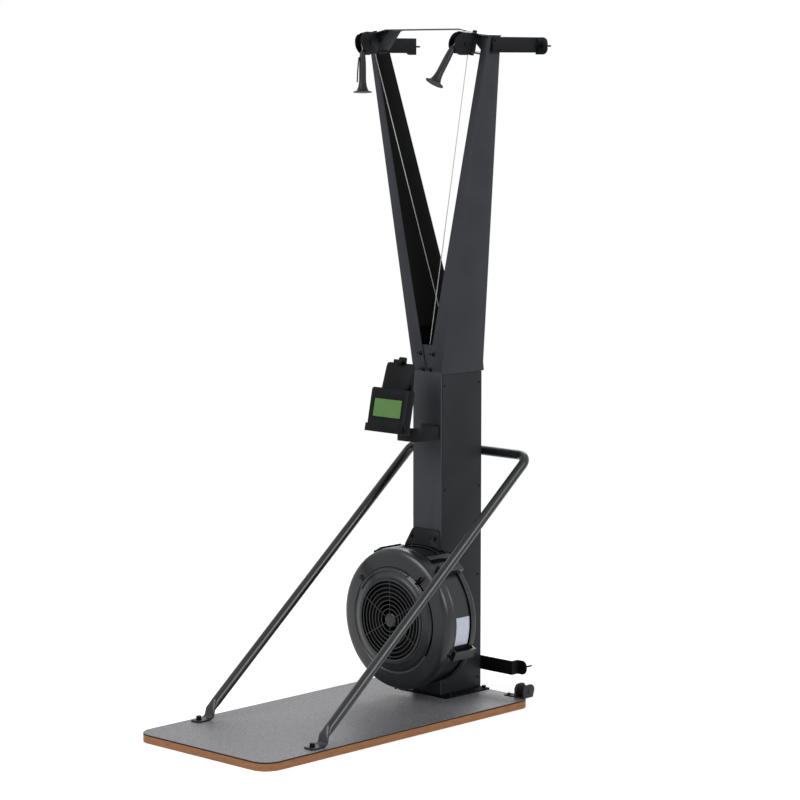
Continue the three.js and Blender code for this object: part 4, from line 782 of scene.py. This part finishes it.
class TRAINER_OT_arms(TrainerStep, bpy.types.Operator):
    """Arms: the two tapered arms, their joint plate and screws, and the folded cross plate"""

    bl_idname = "trainer.arms"
    bl_label = "Arms"

    def execute(self, context):
        for word, side in SIDES.items():
            self.shade_inside(eased_copy(f"{word}_arm", "steel_coat", 1.4), side)
        eased_copy("cross_plate", "tube_coat")
        eased_copy("arm_joint_plate", "steel_coat")
        large = [(x, COLUMN_FRONT, z) for x, z in ((-29, 1179), (29, 1179), (-16, 1128), (16, 1128))]
        small = [(x - 15, y, z) for x, y, z in large]
        fixings(
            "arm_joint_screws",
            (socket_screw, large, FORWARD, (7.5, 4.2, 3.4)),
            (socket_screw, small, FORWARD, (3.2, 1.6, 1.4)),
        )
        return {"FINISHED"}

    def shade_inside(self, arm, side):
        """Paints the arms' inner faces near black, as painted shade inside them."""
        arm.data.materials.append(finish("channel_coat"))
        flanges = [face for face in arm.data.polygons if abs(face.normal.y) > 0.7 and face.area > 0.01]
        middle = sum(face.center.y for face in flanges) / len(flanges)
        webs = [face for face in arm.data.polygons if face.normal.x * side < -0.9 and face.area > 0.05]
        for face in webs + [face for face in flanges if face.normal.y * (face.center.y - middle) < 0]:
            face.material_index = 1


class TRAINER_OT_wall_fixings(TrainerStep, bpy.types.Operator):
    """Wall fixings: two upper straps, the lower bracket and their screws"""

    bl_idname = "trainer.wall_fixings"
    bl_label = "Wall Fixings"

    strap_thickness = 4

    def execute(self, context):
        # The lower wall bracket's black stands partly for paint and partly for painted shade
        eased_copy("lower_wall_bracket", "black_coat")
        for word, side in SIDES.items():
            eased_copy(f"{word}_wall_strap", "black_coat")
            coat("black_zinc", f"{word}_upper_wall_screw", f"{word}_lower_wall_screw")
            low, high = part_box(f"{word}_wall_strap")
            face = min(abs(low.x), abs(high.x)) / MM + self.strap_thickness
            points = [(side * face, y, z) for y, z in ((439, 2210), (460, 2178))]
            fixings(f"{word}_strap_screws", (socket_screw, points, (side, 0, 0), (6.5, 3.4, 3.0)))
        return {"FINISHED"}


class TRAINER_OT_support(TrainerStep, bpy.types.Operator):
    """Support: one bent tube with two feet, bolted to the deck and to the column's back"""

    bl_idname = "trainer.support"
    bl_label = "Support"

    pressed_length = 56
    bend_radius = 42

    def execute(self, context):
        bar_y = COLUMN_BACK + TUBE_RADIUS + 0.3
        foot = Vector((FOOT_X, -349, DECK_TOP + TUBE_RADIUS))
        top = Vector((FOOT_X, bar_y, SUPPORT_TOP))
        rise = (top - foot).normalized()
        start = foot + rise * self.pressed_length
        route = [start, top, (-FOOT_X, bar_y, SUPPORT_TOP), (-start.x, start.y, start.z)]
        tube = (swept, bent_route(route, self.bend_radius, 16), circle(TUBE_RADIUS, 32))
        ends = [(self.foot, side, start, rise) for side in (-1, 1)]
        built("support_tube", "tube_coat", "support_frame", tube, *ends)
        feet = [(side * FOOT_X, -380, DECK_TOP + 6) for side in (-1, 1)]
        back = [(side * 38, bar_y + 15, SUPPORT_TOP) for side in (-1, 1)]
        fixings(
            "support_bolts",
            (hex_bolt, feet, UP, (15.0, 12.0, 10.5)),
            (socket_screw, back, -FORWARD, (8, 4.5, 3.6)),
        )
        return {"FINISHED"}

    def foot(self, bm, side, start, rise):
        """The tube's end, pressed flat and bent along the deck."""
        low = DECK_TOP + 3.3
        across = Vector((side, 0, 0))
        up = across.cross(rise) * side
        # Each station: its middle, the way its thickness runs, half its width and thickness, its roundness
        stations = [
            (start + rise * 2, up, TUBE_RADIUS, TUBE_RADIUS, 1.0),
            (start - rise * 4, up, 16.3, 14.6, 0.9),
            (start - rise * 16, up, 18.2, 9.5, 0.7),
            (start - rise * 30, up, 20.6, 5.0, 0.5),
            (Vector((FOOT_X, -334, low + 7.5)), up, 21.6, 3.4, 0.35),
            (Vector((FOOT_X, -342, low + 2.2)), (up + UP).normalized(), 22.0, 3.1, 0.3),
        ]
        for y, wide, thick in ((-350, 22.0, 2.9), (-390, 22.0, 2.9), (-396, 20.4, 2.9), (-399, 16.5, 2.6)):
            stations.append((Vector((FOOT_X, y, low)), UP, wide, thick, 0.25))
        rows = []
        for centre, out, wide, thick, power in stations:
            centre = Vector((side * centre.x, centre.y, centre.z))
            ring = []
            for c, s in circle(1, 32):
                a = math.copysign(abs(c) ** power, c) * wide
                b = math.copysign(abs(s) ** power, s) * thick
                ring.append(centre + across * a + out * b)
            rows.append(add_row(bm, HERE, ring))
        bridge(bm, rows)


class TRAINER_OT_fan_housing(TrainerStep, bpy.types.Operator):
    """Fan housing: front shell, band and rear shell, with their lugs, screws and plain patch"""

    bl_idname = "trainer.fan_housing"
    bl_label = "Fan Housing"

    def execute(self, context):
        self.front_shell()
        band = (turned, eased(rectangle((223, 305.5), (226, 382.5)), 0.5, 1), fan_place(), 144)
        built("fan_band_dressed", "housing_abs", "fan_band", band)
        self.rear_shell()
        lugs = [fan_place(angle) @ Vector((241.5, 0, LUG_FRONT)) for angle in LUG_ANGLES]
        spacers = [(side * SPACER_X, 306, SPACER_Z) for side in (-1, 1)]
        fixings(
            "fan_lug_screws",
            (socket_screw, lugs, FORWARD, (5.2, 1.4, 3.4)),
            (socket_screw, spacers, FORWARD, (7.0, 3.0, 3.2)),
        )
        self.scale_arc()
        patch = (round_fan, rectangle((226.1, 317.0), (226.5, 379.0)), -17.5, 6.5, 12)
        built("fan_band_patch", "patch_foil", None, patch)
        # Dark sheet and ring of painted shade behind the hood
        self.hood_lining()
        eased_copy("fan_bracket", "black_coat", 1.4)
        return {"FINISHED"}

    def front_shell(self):
        """The front shell with its lugs, and the slot that the damper's lever comes through."""
        face = [
            (140.3, 240.0), (148.0, 241.5), (152.0, 243.6), (164.0, 247.2), (168.0, 249.6), (171.0, 252.6),
            (175.5, 253.8), (177.5, 251.9), (180.0, 251.2), (183.0, 252.0), (196.0, 253.6), (214.0, 256.6),
            (224.0, 259.4), (231.0, 264.0), (235.0, 271.0), (236.0, 280.0), (236.0, 296.0), (234.6, 298.0),
            (236.0, 300.0), (236.0, 304.5), (224.0, 304.5), (224.0, 301.5), (233.0, 301.5), (233.0, 281.0),
            (231.5, 272.0), (228.0, 266.5), (222.0, 262.8), (196.0, 257.4), (176.0, 257.2), (166.0, 253.0),
            (150.0, 248.4), (140.3, 248.4),
        ]
        body = (turned, eased(face, 1.6, 2), fan_place(), 160)
        low, high = (233.0, -17, LUG_FRONT), (LUG_REACH, 17, 304.6)
        lugs = [(block, low, high, fan_place(angle), 1.6) for angle in LUG_ANGLES]
        shell = built("fan_front_shell_dressed", "housing_abs", "fan_front_shell", body, *lugs, angle=28)
        slot = fan_arc(173.9, -35, 55, 24) + fan_arc(182.1, 55, -35, 24)
        subtract(shell, "lever_slot", prism, slot, 225, 285, fan_place())

    def rear_shell(self):
        """The rear shell with its lugs, a dark sheet of painted shade in each lug's pocket, and the covers of
        the two spacers.
        """
        bm = bmesh.new()
        rim = [
            (30, 404.2), (229, 404.2), (229, 383.2), (232, 383.2), (232, 403.0), (229.5, 406.6),
            (196, FAN_BACK), (30, FAN_BACK),
        ]
        turned(bm, eased(rim, 1.2, 2), fan_place(), 144)
        # Dark sheets in the lugs' pockets: painted shade
        dark = bmesh.new()
        for angle in LUG_ANGLES:
            upward = -1 if 90 < angle < 270 else 1
            self.lug(bm, dark, fan_place(angle) @ Matrix.Diagonal((1, upward, 1, 1)))
        spacer = eased(rectangle((0, 306), (11, 406.6)), 1.0, 2, closed=False)
        for side in (-1, 1):
            turned(bm, spacer, looking_back(side * SPACER_X, SPACER_Z), 28, closed=False)
        piece(bm, "fan_rear_shell_dressed", "housing_abs", "fan_rear_shell")
        piece(dark, "fan_lug_pockets", "blade_abs")

    def lug(self, bm, dark, place):
        """A lug along the fan's side with a deep pocket in its upper end face, whose floor gets a thin dark
        sheet of painted shade.
        """
        inner, outer, front, back = 226.8, LUG_REACH, 305.6, 404.0
        block(bm, (inner, -3, front), (outer, 17, back), place, 1.6)
        block(bm, (inner, -17, front), (outer, -1, front + 9), place, 1.0)
        block(bm, (inner, -17, back - 8), (outer, -1, back), place, 1.0)
        block(bm, (outer - 3.5, -17, front + 7), (outer, -1, back - 6), place, 0.8)
        block(bm, (inner, -17, front + 7), (inner + 3.5, -1, back - 6), place, 0.8)
        # The pocket's floor: a thin dark sheet, painted shade
        block(dark, (inner + 3.4, -3.6, front + 8.8), (outer - 3.4, -2.9, back - 7.8), place, 0.1)

    def scale_arc(self):
        """The raised arc over the inlet and the small clip at its end, with a dark strip on the clip's face
        as painted shade of its slot.
        """
        section = eased([(163.5, 247.6), (163.5, 244.4), (173.0, 247.4), (173.0, 253.0)], 1.0, 2)
        clip = (block, (183, -5, 246.8), (199, 5, 256), fan_place(140), 1.2)
        built("fan_scale_arc", "housing_abs", None, (round_fan, section, 66, 148, 30), clip)
        # A thin dark strip on the clip's face: painted shade of a slot
        slot = (block, (186, -2.6, 246.4), (196, 2.6, 248), fan_place(140), 0.4)
        built("fan_clip_slot", "black_rubber", None, slot)

    def hood_lining(self):
        """A dark sheet behind the hood's face and a dark ring round the shell: painted shade that closes the
        holes and the gap.
        """
        slope = Matrix.Translation((0, 391, 536)) @ Matrix.Rotation(math.radians(67.9), 4, "X")
        sheet = (prism, [(-72, 0), (72, 0), (56.5, 51), (-56.5, 51)], -3.0, -0.8, slope)
        arc = fan_arc(232.4, 70, 110, 20) + fan_arc(236.0, 110, 70, 20)
        built("hood_lining", "blade_abs", None, sheet, (prism, arc, 392, 410, fan_place()))


class TRAINER_OT_fan_inlet(TrainerStep, bpy.types.Operator):
    """Fan inlet: the ring grille with its spokes and hub, and the damper with its lever"""

    bl_idname = "trainer.fan_inlet"
    bl_label = "Fan Inlet"

    def execute(self, context):
        sizes = context.scene.trainer_sizes
        half = sizes.grille_bar / MM / 2
        rim, hub = 136.5, 24.5
        pitch = (rim - hub) / (sizes.grille_rings + 1)
        parts = []
        for row in range(1, sizes.grille_rings + 1):
            radius = hub + row * pitch
            section = rectangle((radius - half, 237.1), (radius + half, GRILLE_BACK))
            parts.append((turned, eased(section, 0.9, 2), fan_place(), 112))
        outside = rectangle((131.5, 237.6), (139.6, GRILLE_BACK))
        parts.append((turned, eased(outside, 0.8, 2), fan_place(), 128))
        cap = [(0, 237.0), (17, 237.1), (22.5, 238.0), (hub, 239.8), (hub, GRILLE_BACK), (0, GRILLE_BACK)]
        parts.append((turned, eased(cap, 1.0, 2, closed=False), fan_place(), 48, False))
        built("inlet_grille", "housing_abs", "fan_grille", *parts)
        low, high = (20, -1.1, 236.5), (134, 1.1, 239.0)
        spokes = [(block, low, high, fan_place(-angle), 0.4) for angle in range(30, 390, 60)]
        built("inlet_grille_spokes", "housing_abs", None, *spokes)
        self.damper()
        return {"FINISHED"}

    def damper(self):
        """The damper's ring with its lever, which stands out through the front shell's slot."""
        lever = fan_place(50)
        ring = eased(rectangle((70, DAMPER_FRONT), (166, DAMPER_BACK)), 0.6, 1)
        stem = eased(rectangle((174.6, -3.4), (181.4, 3.4)), 1.4, 3)
        paddle = eased([(174.7, -3.4), (209, -2.4), (212.3, 0), (209, 2.4), (174.7, 3.4)], 2.2, 4)
        built(
            "damper_dressed", "blade_abs", "damper_ring",
            (turned, ring, fan_place(), 96),
            (prism, stem, 245.8, DAMPER_BACK, lever, 0.5),
            (block, (160, -3.4, 263.2), (184, 3.4, DAMPER_BACK), lever, 0.5),
            (prism, paddle, 239.2, 246.3, lever, 1.2, 3),
            body="damper",
        )


class TRAINER_OT_drive(TrainerStep, bpy.types.Operator):
    """Drive: flywheel, shaft, bearings, cord drums, guide pulleys and the return anchor"""

    bl_idname = "trainer.drive"
    bl_label = "Drive"

    def execute(self, context):
        coat("blade_abs", "flywheel")
        coat("ground_steel", "front_bearing", "rear_bearing")
        coat("dark_abs", "flywheel_shaft", "left_drum", "right_drum")
        coat("dark_abs", "left_guide_pulley", "right_guide_pulley")
        coat("steel_coat", "guide_bracket", "return_anchor")
        coat("black_rubber", "left_return_cord", "right_return_cord")
        return {"FINISHED"}


def three_turn(x, y, z):
    """Turns about X, then the turned Y, then the turned Z."""
    return Matrix.Rotation(x, 4, "X") @ Matrix.Rotation(y, 4, "Y") @ Matrix.Rotation(z, 4, "Z")


def swivel_frame(word):
    """The frame of a pulley head on its leaning pin."""
    side = SIDES[word]
    turn = LEFT_SWIVEL_TURN if word == "left" else 0.0
    point = Vector((side * SWIVEL_POINT.x, SWIVEL_POINT.y, SWIVEL_POINT.z))
    return Matrix.Translation(point) @ three_turn(0, side * PIN_LEAN, turn)


def pulley_point(angle):
    """The cord's middle in its head's frame, at an angle from the pulley's back over its top."""
    return Vector((0, -PULLEY_FORWARD + math.cos(angle) * PULLEY_RADIUS, math.sin(angle) * PULLEY_RADIUS))


def handle_top(word):
    """A handle's top in its pulley head's frame, and the way that the handle hangs."""
    lean = HANDLE_LEAN[word]
    hang = Vector((0, -math.sin(lean), -math.cos(lean)))
    return pulley_point(math.pi - lean) + hang * HANDLE_DROP, hang


def handle_frame(word):
    top, _ = handle_top(word)
    turn = three_turn(-HANDLE_LEAN[word], HANDLE_PLUMB[word], 0)
    return swivel_frame(word) @ Matrix.Translation(top) @ turn


class TRAINER_OT_pulley_heads(TrainerStep, bpy.types.Operator):
    """Pulley heads: the swivelling housings, their pins, and the pulleys in them"""

    bl_idname = "trainer.pulley_heads"
    bl_label = "Pulley Heads"

    def execute(self, context):
        half = [
            (5.6, -7), (13, -7), (15, -5.4), (27, -5.4), (29.5, -7), (34.2, -7), (34.2, -5.8), (30.4, -1.4)
        ]
        wheel = eased(mirrored(half, (30.2, 0)), 0.6, 2)
        axle = Matrix.Translation((0, -PULLEY_FORWARD, 0)) @ Matrix.Rotation(math.pi / 2, 4, "Y")
        for word in SIDES:
            eased_copy(f"{word}_housing", "black_coat", 0.8, angle=40)
            coat("black_zinc", f"{word}_swivel_pin")
            body = f"{word}_pulley"
            shape = (turned, wheel, swivel_frame(word) @ axle, 72)
            built(f"{body}_wheel", "dark_abs", body, shape, body=body)
        return {"FINISHED"}


class TRAINER_OT_handles(TrainerStep, bpy.types.Operator):
    """Handles: soft grips with a flared foot, and wrist straps"""

    bl_idname = "trainer.handles"
    bl_label = "Handles"

    def execute(self, context):
        profile = [
            (0, 0), (6.6, -0.1), (8.0, -2.0), (9.2, -12), (10.4, -26), (11.3, -44), (11.5, -60),
            (11.5, -80), (11.7, -96), (12.4, -106), (14.0, -116), (16.4, -124), (19.2, -130), (22.5, -133.4),
            (30.2, -134.6), (30.9, -135.6), (30.9, -137.2), (30.2, -138), (20, -137.6), (0, -136.6),
        ]
        for word in SIDES:
            place = handle_frame(word)
            body = f"{word}_handle"
            grip = (turned, eased(profile, 1.2, 3, closed=False), place, 64, False)
            built(f"{word}_grip", "grip_rubber", body, grip, body=body, angle=50)
            self.strap(word, body, place @ Matrix.Rotation(STRAP_TURN[word], 4, "Z"))
        return {"FINISHED"}

    def strap(self, word, body, place):
        """A flat webbing loop, pressed together, with a row of stitches near its lower end."""
        seat, reach = 11.9, 17.5
        line = bend(Vector((0, -seat, -22)), Vector((0, -reach, -63)), Vector((0, -reach, -104)), 16)
        section = eased(rectangle((-9.8, -0.52), (9.8, 0.52)), 0.4, 2)
        across = Vector((1, 0, 0))
        for number, offset in enumerate((-0.62, 0.62), 1):
            bm = bmesh.new()
            rows = []
            for before, point, after in zip([line[0], *line], line, [*line[1:], line[-1]]):
                out = across.cross((after - before).normalized()).normalized()
                rows.append(add_row(bm, place, [point + across * a + out * (b + offset) for a, b in section]))
            bridge(bm, rows)
            piece(bm, f"{word}_wrist_strap_{number}", "webbing", f"{word}_handle_strap", body)
        stitches = []
        for row in (-96, -99):
            for x in range(-8, 9, 2):
                low = (x - 0.7, -reach - 1.35, row - 0.3)
                high = (x + 0.7, -reach + 1.35, row + 0.3)
                stitches.append((block, low, high, place, 0.12, 1))
        built(f"{word}_strap_stitches", "cord_braid", None, *stitches, body=body)


class TRAINER_OT_cords(TrainerStep, bpy.types.Operator):
    """Cords: the drive cords up the arms and their leads over the pulleys to the handles"""

    bl_idname = "trainer.cords"
    bl_label = "Cords"

    guide_radius = 32

    def execute(self, context):
        for word in SIDES:
            drum = Vector((DRUM_X, DRUM_Y[word], FAN_HEIGHT + 0.3))
            guide = Vector((DRUM_X, DRUM_Y[word], GUIDE_HEIGHT))
            top = swivel_frame(word) @ (pulley_point(0) - UP * CORD_STOP)
            route = bent_route([drum, guide, top], self.guide_radius, 8)
            self.drive_cord(f"{word}_drive_cord", route, f"{word}_cord")
            self.lead(word)
        return {"FINISHED"}

    def drive_cord(self, name, route, node):
        """The run of cord from a drum up an arm, which keeps its place as the handle is pulled."""
        curve = bpy.data.curves.new(name, "CURVE")
        curve.dimensions = "3D"
        curve.bevel_depth = CORD_RADIUS * MM
        curve.bevel_resolution = 4
        curve.use_fill_caps = True
        spline = curve.splines.new("POLY")
        spline.points.add(len(route) - 1)
        for point, at in zip(spline.points, route):
            point.co = (at.x * MM, at.y * MM, at.z * MM, 1)
        made = into_scene(name, curve)
        curve.materials.append(finish("cord_braid"))
        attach(made, "frame")
        self.declare(made, route, node)

    def lead(self, word):
        """The cord over a pulley and down to the handle's top."""
        hang_top, hang = handle_top(word)
        wrap = math.pi - HANDLE_LEAN[word]
        leave = pulley_point(wrap)
        bottom = hang_top - hang * CORD_GAP
        line = [pulley_point(0) - UP * (CORD_STOP - CORD_GAP)]
        line += [pulley_point(wrap * i / 24) for i in range(25)]
        line += [leave.lerp(bottom, i / 8) for i in range(1, 9)]
        place = swivel_frame(word)
        route = [place @ p for p in line]
        bm = bmesh.new()
        swept(bm, route, circle(CORD_RADIUS, 12))
        made = finished(bm, f"{word}_handle_cord", "cord_braid")
        end = leave + (bottom - leave).project(hang + FORWARD)
        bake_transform(made)
        self.declare(made, route, f"{word}_cord_lead", path=[tuple(p * MM) for p in route])

    def declare(self, made, route, node, path=None):
        """Hides the imported node that a cord stands for."""
        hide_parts(node)


def monitor_frame():
    """The tilted frame of the monitor about its hinge."""
    return Matrix.Translation(MONITOR_PIVOT) @ Matrix.Rotation(-MONITOR_TILT, 4, "X")


class TRAINER_OT_monitor(TrainerStep, bpy.types.Operator):
    """Monitor: its case, display window and socket cover, on the bent arm"""

    bl_idname = "trainer.monitor"
    bl_label = "Monitor"

    # The display's middle, across the case and up it
    window = (-3, 69)

    def execute(self, context):
        # A place with X across the case, Y up it and Z out of its front
        face = monitor_frame() @ Matrix.Rotation(math.pi / 2, 4, "X")
        eased_copy("monitor_case", "dark_abs", 1.0, "moulded_edge", 40)
        eased_copy("monitor_arm", "black_coat")
        glass = moved(rounded_rectangle(62.2, 29.7, 1.5, 3), *self.window)
        panel = (prism, glass, 37.9, 39.4, face, 0.25)
        built("display_panel", "display", "monitor_screen", panel, body="monitor")
        built("display_bezel", "dark_abs", None, (self.bezel, face), body="monitor")
        plug = moved(rounded_rectangle(13.5, 15, 2.5, 4), 72, 6)
        built("monitor_socket_cover", "dark_abs", None, (prism, plug, 43.9, 50.0, face, 1.2), body="monitor")
        return {"FINISHED"}

    def bezel(self, bm, place):
        """The raised frame round the display."""
        outer = moved(rounded_rectangle(65.5, 33.0, 3, 6), *self.window)
        inner = moved(rounded_rectangle(62.9, 30.4, 1.5, 6), *self.window)
        low, high = 41.0, 41.7
        rows = []
        for outline, height in ((outer, low), (outer, high), (inner, high), (inner, low)):
            rows.append(add_row(bm, place, [(x, y, height) for x, y in outline]))
        bridge(bm, rows, closed=True)


class TRAINER_OT_phone_holder(TrainerStep, bpy.types.Operator):
    """Phone holder: the backing plate, its knob, and the sprung clamp"""

    bl_idname = "trainer.phone_holder"
    bl_label = "Phone Holder"

    def execute(self, context):
        eased_copy("phone_holder", "dark_abs", 0.8, "moulded_edge", 40)
        eased_copy("phone_clamp", "dark_abs", 1.0, "moulded_edge", 40)
        profile = [(0, 0), (9, 0), (9.6, 2), (9.6, 7), (8, 9), (0, 9)]
        knob = (turned, profile, monitor_frame() @ facing((51, -10.7, 146), FORWARD), 32, False)
        built("phone_holder_knob", "dark_abs", None, knob, body="monitor")
        return {"FINISHED"}


class TRAINER_OT_wheels(TrainerStep, bpy.types.Operator):
    """Transport wheels: rubber wheels on small brackets at the deck's back corners"""

    bl_idname = "trainer.wheels"
    bl_label = "Transport Wheels"

    def execute(self, context):
        half = [
            (4.6, -16), (9, -16), (10, -14), (14, -14), (15.5, -17), (18, -17), (19.5, -15.5), (19.5, -5.2),
            (18.8, -4.4), (19.5, -3.6),
        ]
        tyre = eased(mirrored(half), 0.6, 2)
        for word, side in SIDES.items():
            eased_copy(f"{word}_wheel_bracket", "steel_coat", angle=40)
            axle = facing((side * 269.6, 606, 49.5), (1, 0, 0))
            body = f"{word}_transport_wheel"
            built(f"{word}_wheel_tyre", "black_rubber", body, (turned, tyre, axle, 64), body=body)
            fixings(f"{word}_wheel_bolt", (hex_bolt, [(side * 215, 590, 32)], UP, (10.0, 5.5, 7.5)))
        return {"FINISHED"}


def met_by(tree, *rays):
    """A value of 1 where one of these kinds of ray arrives, or else 0."""
    path = add_node(tree, "ShaderNodeLightPath")
    met = path.outputs[rays[0]]
    for ray in rays[1:]:
        met = maths(tree, "MAXIMUM", met, path.outputs[ray])
    return met


class TRAINER_OT_stage(TrainerStep, bpy.types.Operator):
    """Stage: a pale floor, plain soft light, a white background and the camera"""

    bl_idname = "trainer.stage"
    bl_label = "Stage"

    def execute(self, context):
        self.floor()
        self.world(context.scene)
        self.lamp("key_lamp", (-1.2, -5.2, 4.6), (0, 0, 1.0), 4.4, 300)
        self.lamp("side_lamp", (5.2, 0.6, 3.4), (0, 0.2, 1.2), 3.0, 200)
        self.lamp("back_lamp", (-2.5, 4.5, 4.0), (0, 0.2, 1.2), 3.0, 90)
        self.camera(context.scene)
        context.scene.view_settings.view_transform = "Standard"
        return {"FINISHED"}

    def floor(self):
        """A pale disc, which looks white where the camera or a gloss sees it."""
        bm = bmesh.new()
        bmesh.ops.create_circle(bm, cap_ends=True, segments=96, radius=4.2)
        floor = meshed(bm, "floor")
        pale = (0.86, 0.86, 0.86, 1)
        material, tree, shader = plain_finish(
            "floor_paint", Base_Color=pale, Roughness=0.9, Specular_IOR_Level=0.1
        )
        glow = add_node(tree, "ShaderNodeEmission", {"Color": (1, 1, 1, 1), "Strength": 0.5})
        both = add_node(tree, "ShaderNodeAddShader", {0: shader.outputs[0], 1: glow.outputs[0]})
        seen = met_by(tree, "Is Camera Ray", "Is Glossy Ray")
        pick = add_node(tree, "ShaderNodeMixShader", {0: seen, 1: shader.outputs[0], 2: both.outputs[0]})
        tree.links.new(pick.outputs[0], tree.nodes["Material Output"].inputs["Surface"])
        floor.data.materials.append(material)

    def world(self, scene):
        """A white background, whose light on the machine is weaker."""
        world = bpy.data.worlds.new("studio")
        world.use_nodes = True
        tree = world.node_tree
        tree.nodes.clear()
        seen = met_by(tree, "Is Camera Ray", "Is Glossy Ray", "Is Transmission Ray")
        light = {"Color": (1, 1, 1, 1), "Strength": spread(tree, seen, 0.15, 1.0)}
        sky = add_node(tree, "ShaderNodeBackground", light)
        add_node(tree, "ShaderNodeOutputWorld", {"Surface": sky.outputs[0]})
        scene.world = world

    def lamp(self, name, place, target, size, power):
        data = bpy.data.lights.new(name, "AREA")
        data.shape = "DISK"
        data.size = size
        data.energy = power
        lamp = into_scene(name, data)
        lamp.location = place
        look = Vector(target) - Vector(place)
        lamp.rotation_euler = look.to_track_quat("-Z", "Y").to_euler()

    def camera(self, scene):
        data = bpy.data.cameras.new("view")
        data.lens = FOCAL_PIXELS / PHOTO_WIDTH * SENSOR_WIDTH
        data.sensor_width = SENSOR_WIDTH
        data.clip_end = 100
        camera = into_scene("view", data)
        camera.location = CAMERA_PLACE
        camera.rotation_euler = (math.pi / 2 - CAMERA_PITCH, 0, CAMERA_YAW)
        scene.camera = camera


STEPS = (
    TRAINER_OT_stage,
    TRAINER_OT_deck,
    TRAINER_OT_column,
    TRAINER_OT_arms,
    TRAINER_OT_wall_fixings,
    TRAINER_OT_support,
    TRAINER_OT_fan_housing,
    TRAINER_OT_fan_inlet,
    TRAINER_OT_drive,
    TRAINER_OT_pulley_heads,
    TRAINER_OT_handles,
    TRAINER_OT_cords,
    TRAINER_OT_monitor,
    TRAINER_OT_phone_holder,
    TRAINER_OT_wheels,
)


class TRAINER_PT_panel(bpy.types.Panel):
    """The trainer's steps, sizes and colours"""

    bl_idname = "TRAINER_PT_panel"
    bl_label = "Ski Trainer"
    bl_space_type = "VIEW_3D"
    bl_region_type = "UI"
    bl_category = "Trainer"

    def draw(self, context):
        layout = self.layout
        for step in STEPS:
            layout.operator(step.bl_idname)
        for group in (context.scene.trainer_sizes, context.scene.trainer_colours):
            box = layout.box()
            for name in group.bl_rna.properties.keys():
                if name not in ("rna_type", "name"):
                    box.prop(group, name)


CLASSES = (TrainerColours, TrainerSizes, *STEPS, TRAINER_PT_panel)


def register():
    for made in CLASSES:
        bpy.utils.register_class(made)
    bpy.types.Scene.trainer_colours = PointerProperty(type=TrainerColours)
    bpy.types.Scene.trainer_sizes = PointerProperty(type=TrainerSizes)


def unregister():
    del bpy.types.Scene.trainer_sizes
    del bpy.types.Scene.trainer_colours
    for made in reversed(CLASSES):
        bpy.utils.unregister_class(made)


def main():
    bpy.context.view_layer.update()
    register()
    for step in STEPS:
        area, name = step.bl_idname.split(".")
        getattr(getattr(bpy.ops, area), name)()


if __name__ == "__main__":
    main()
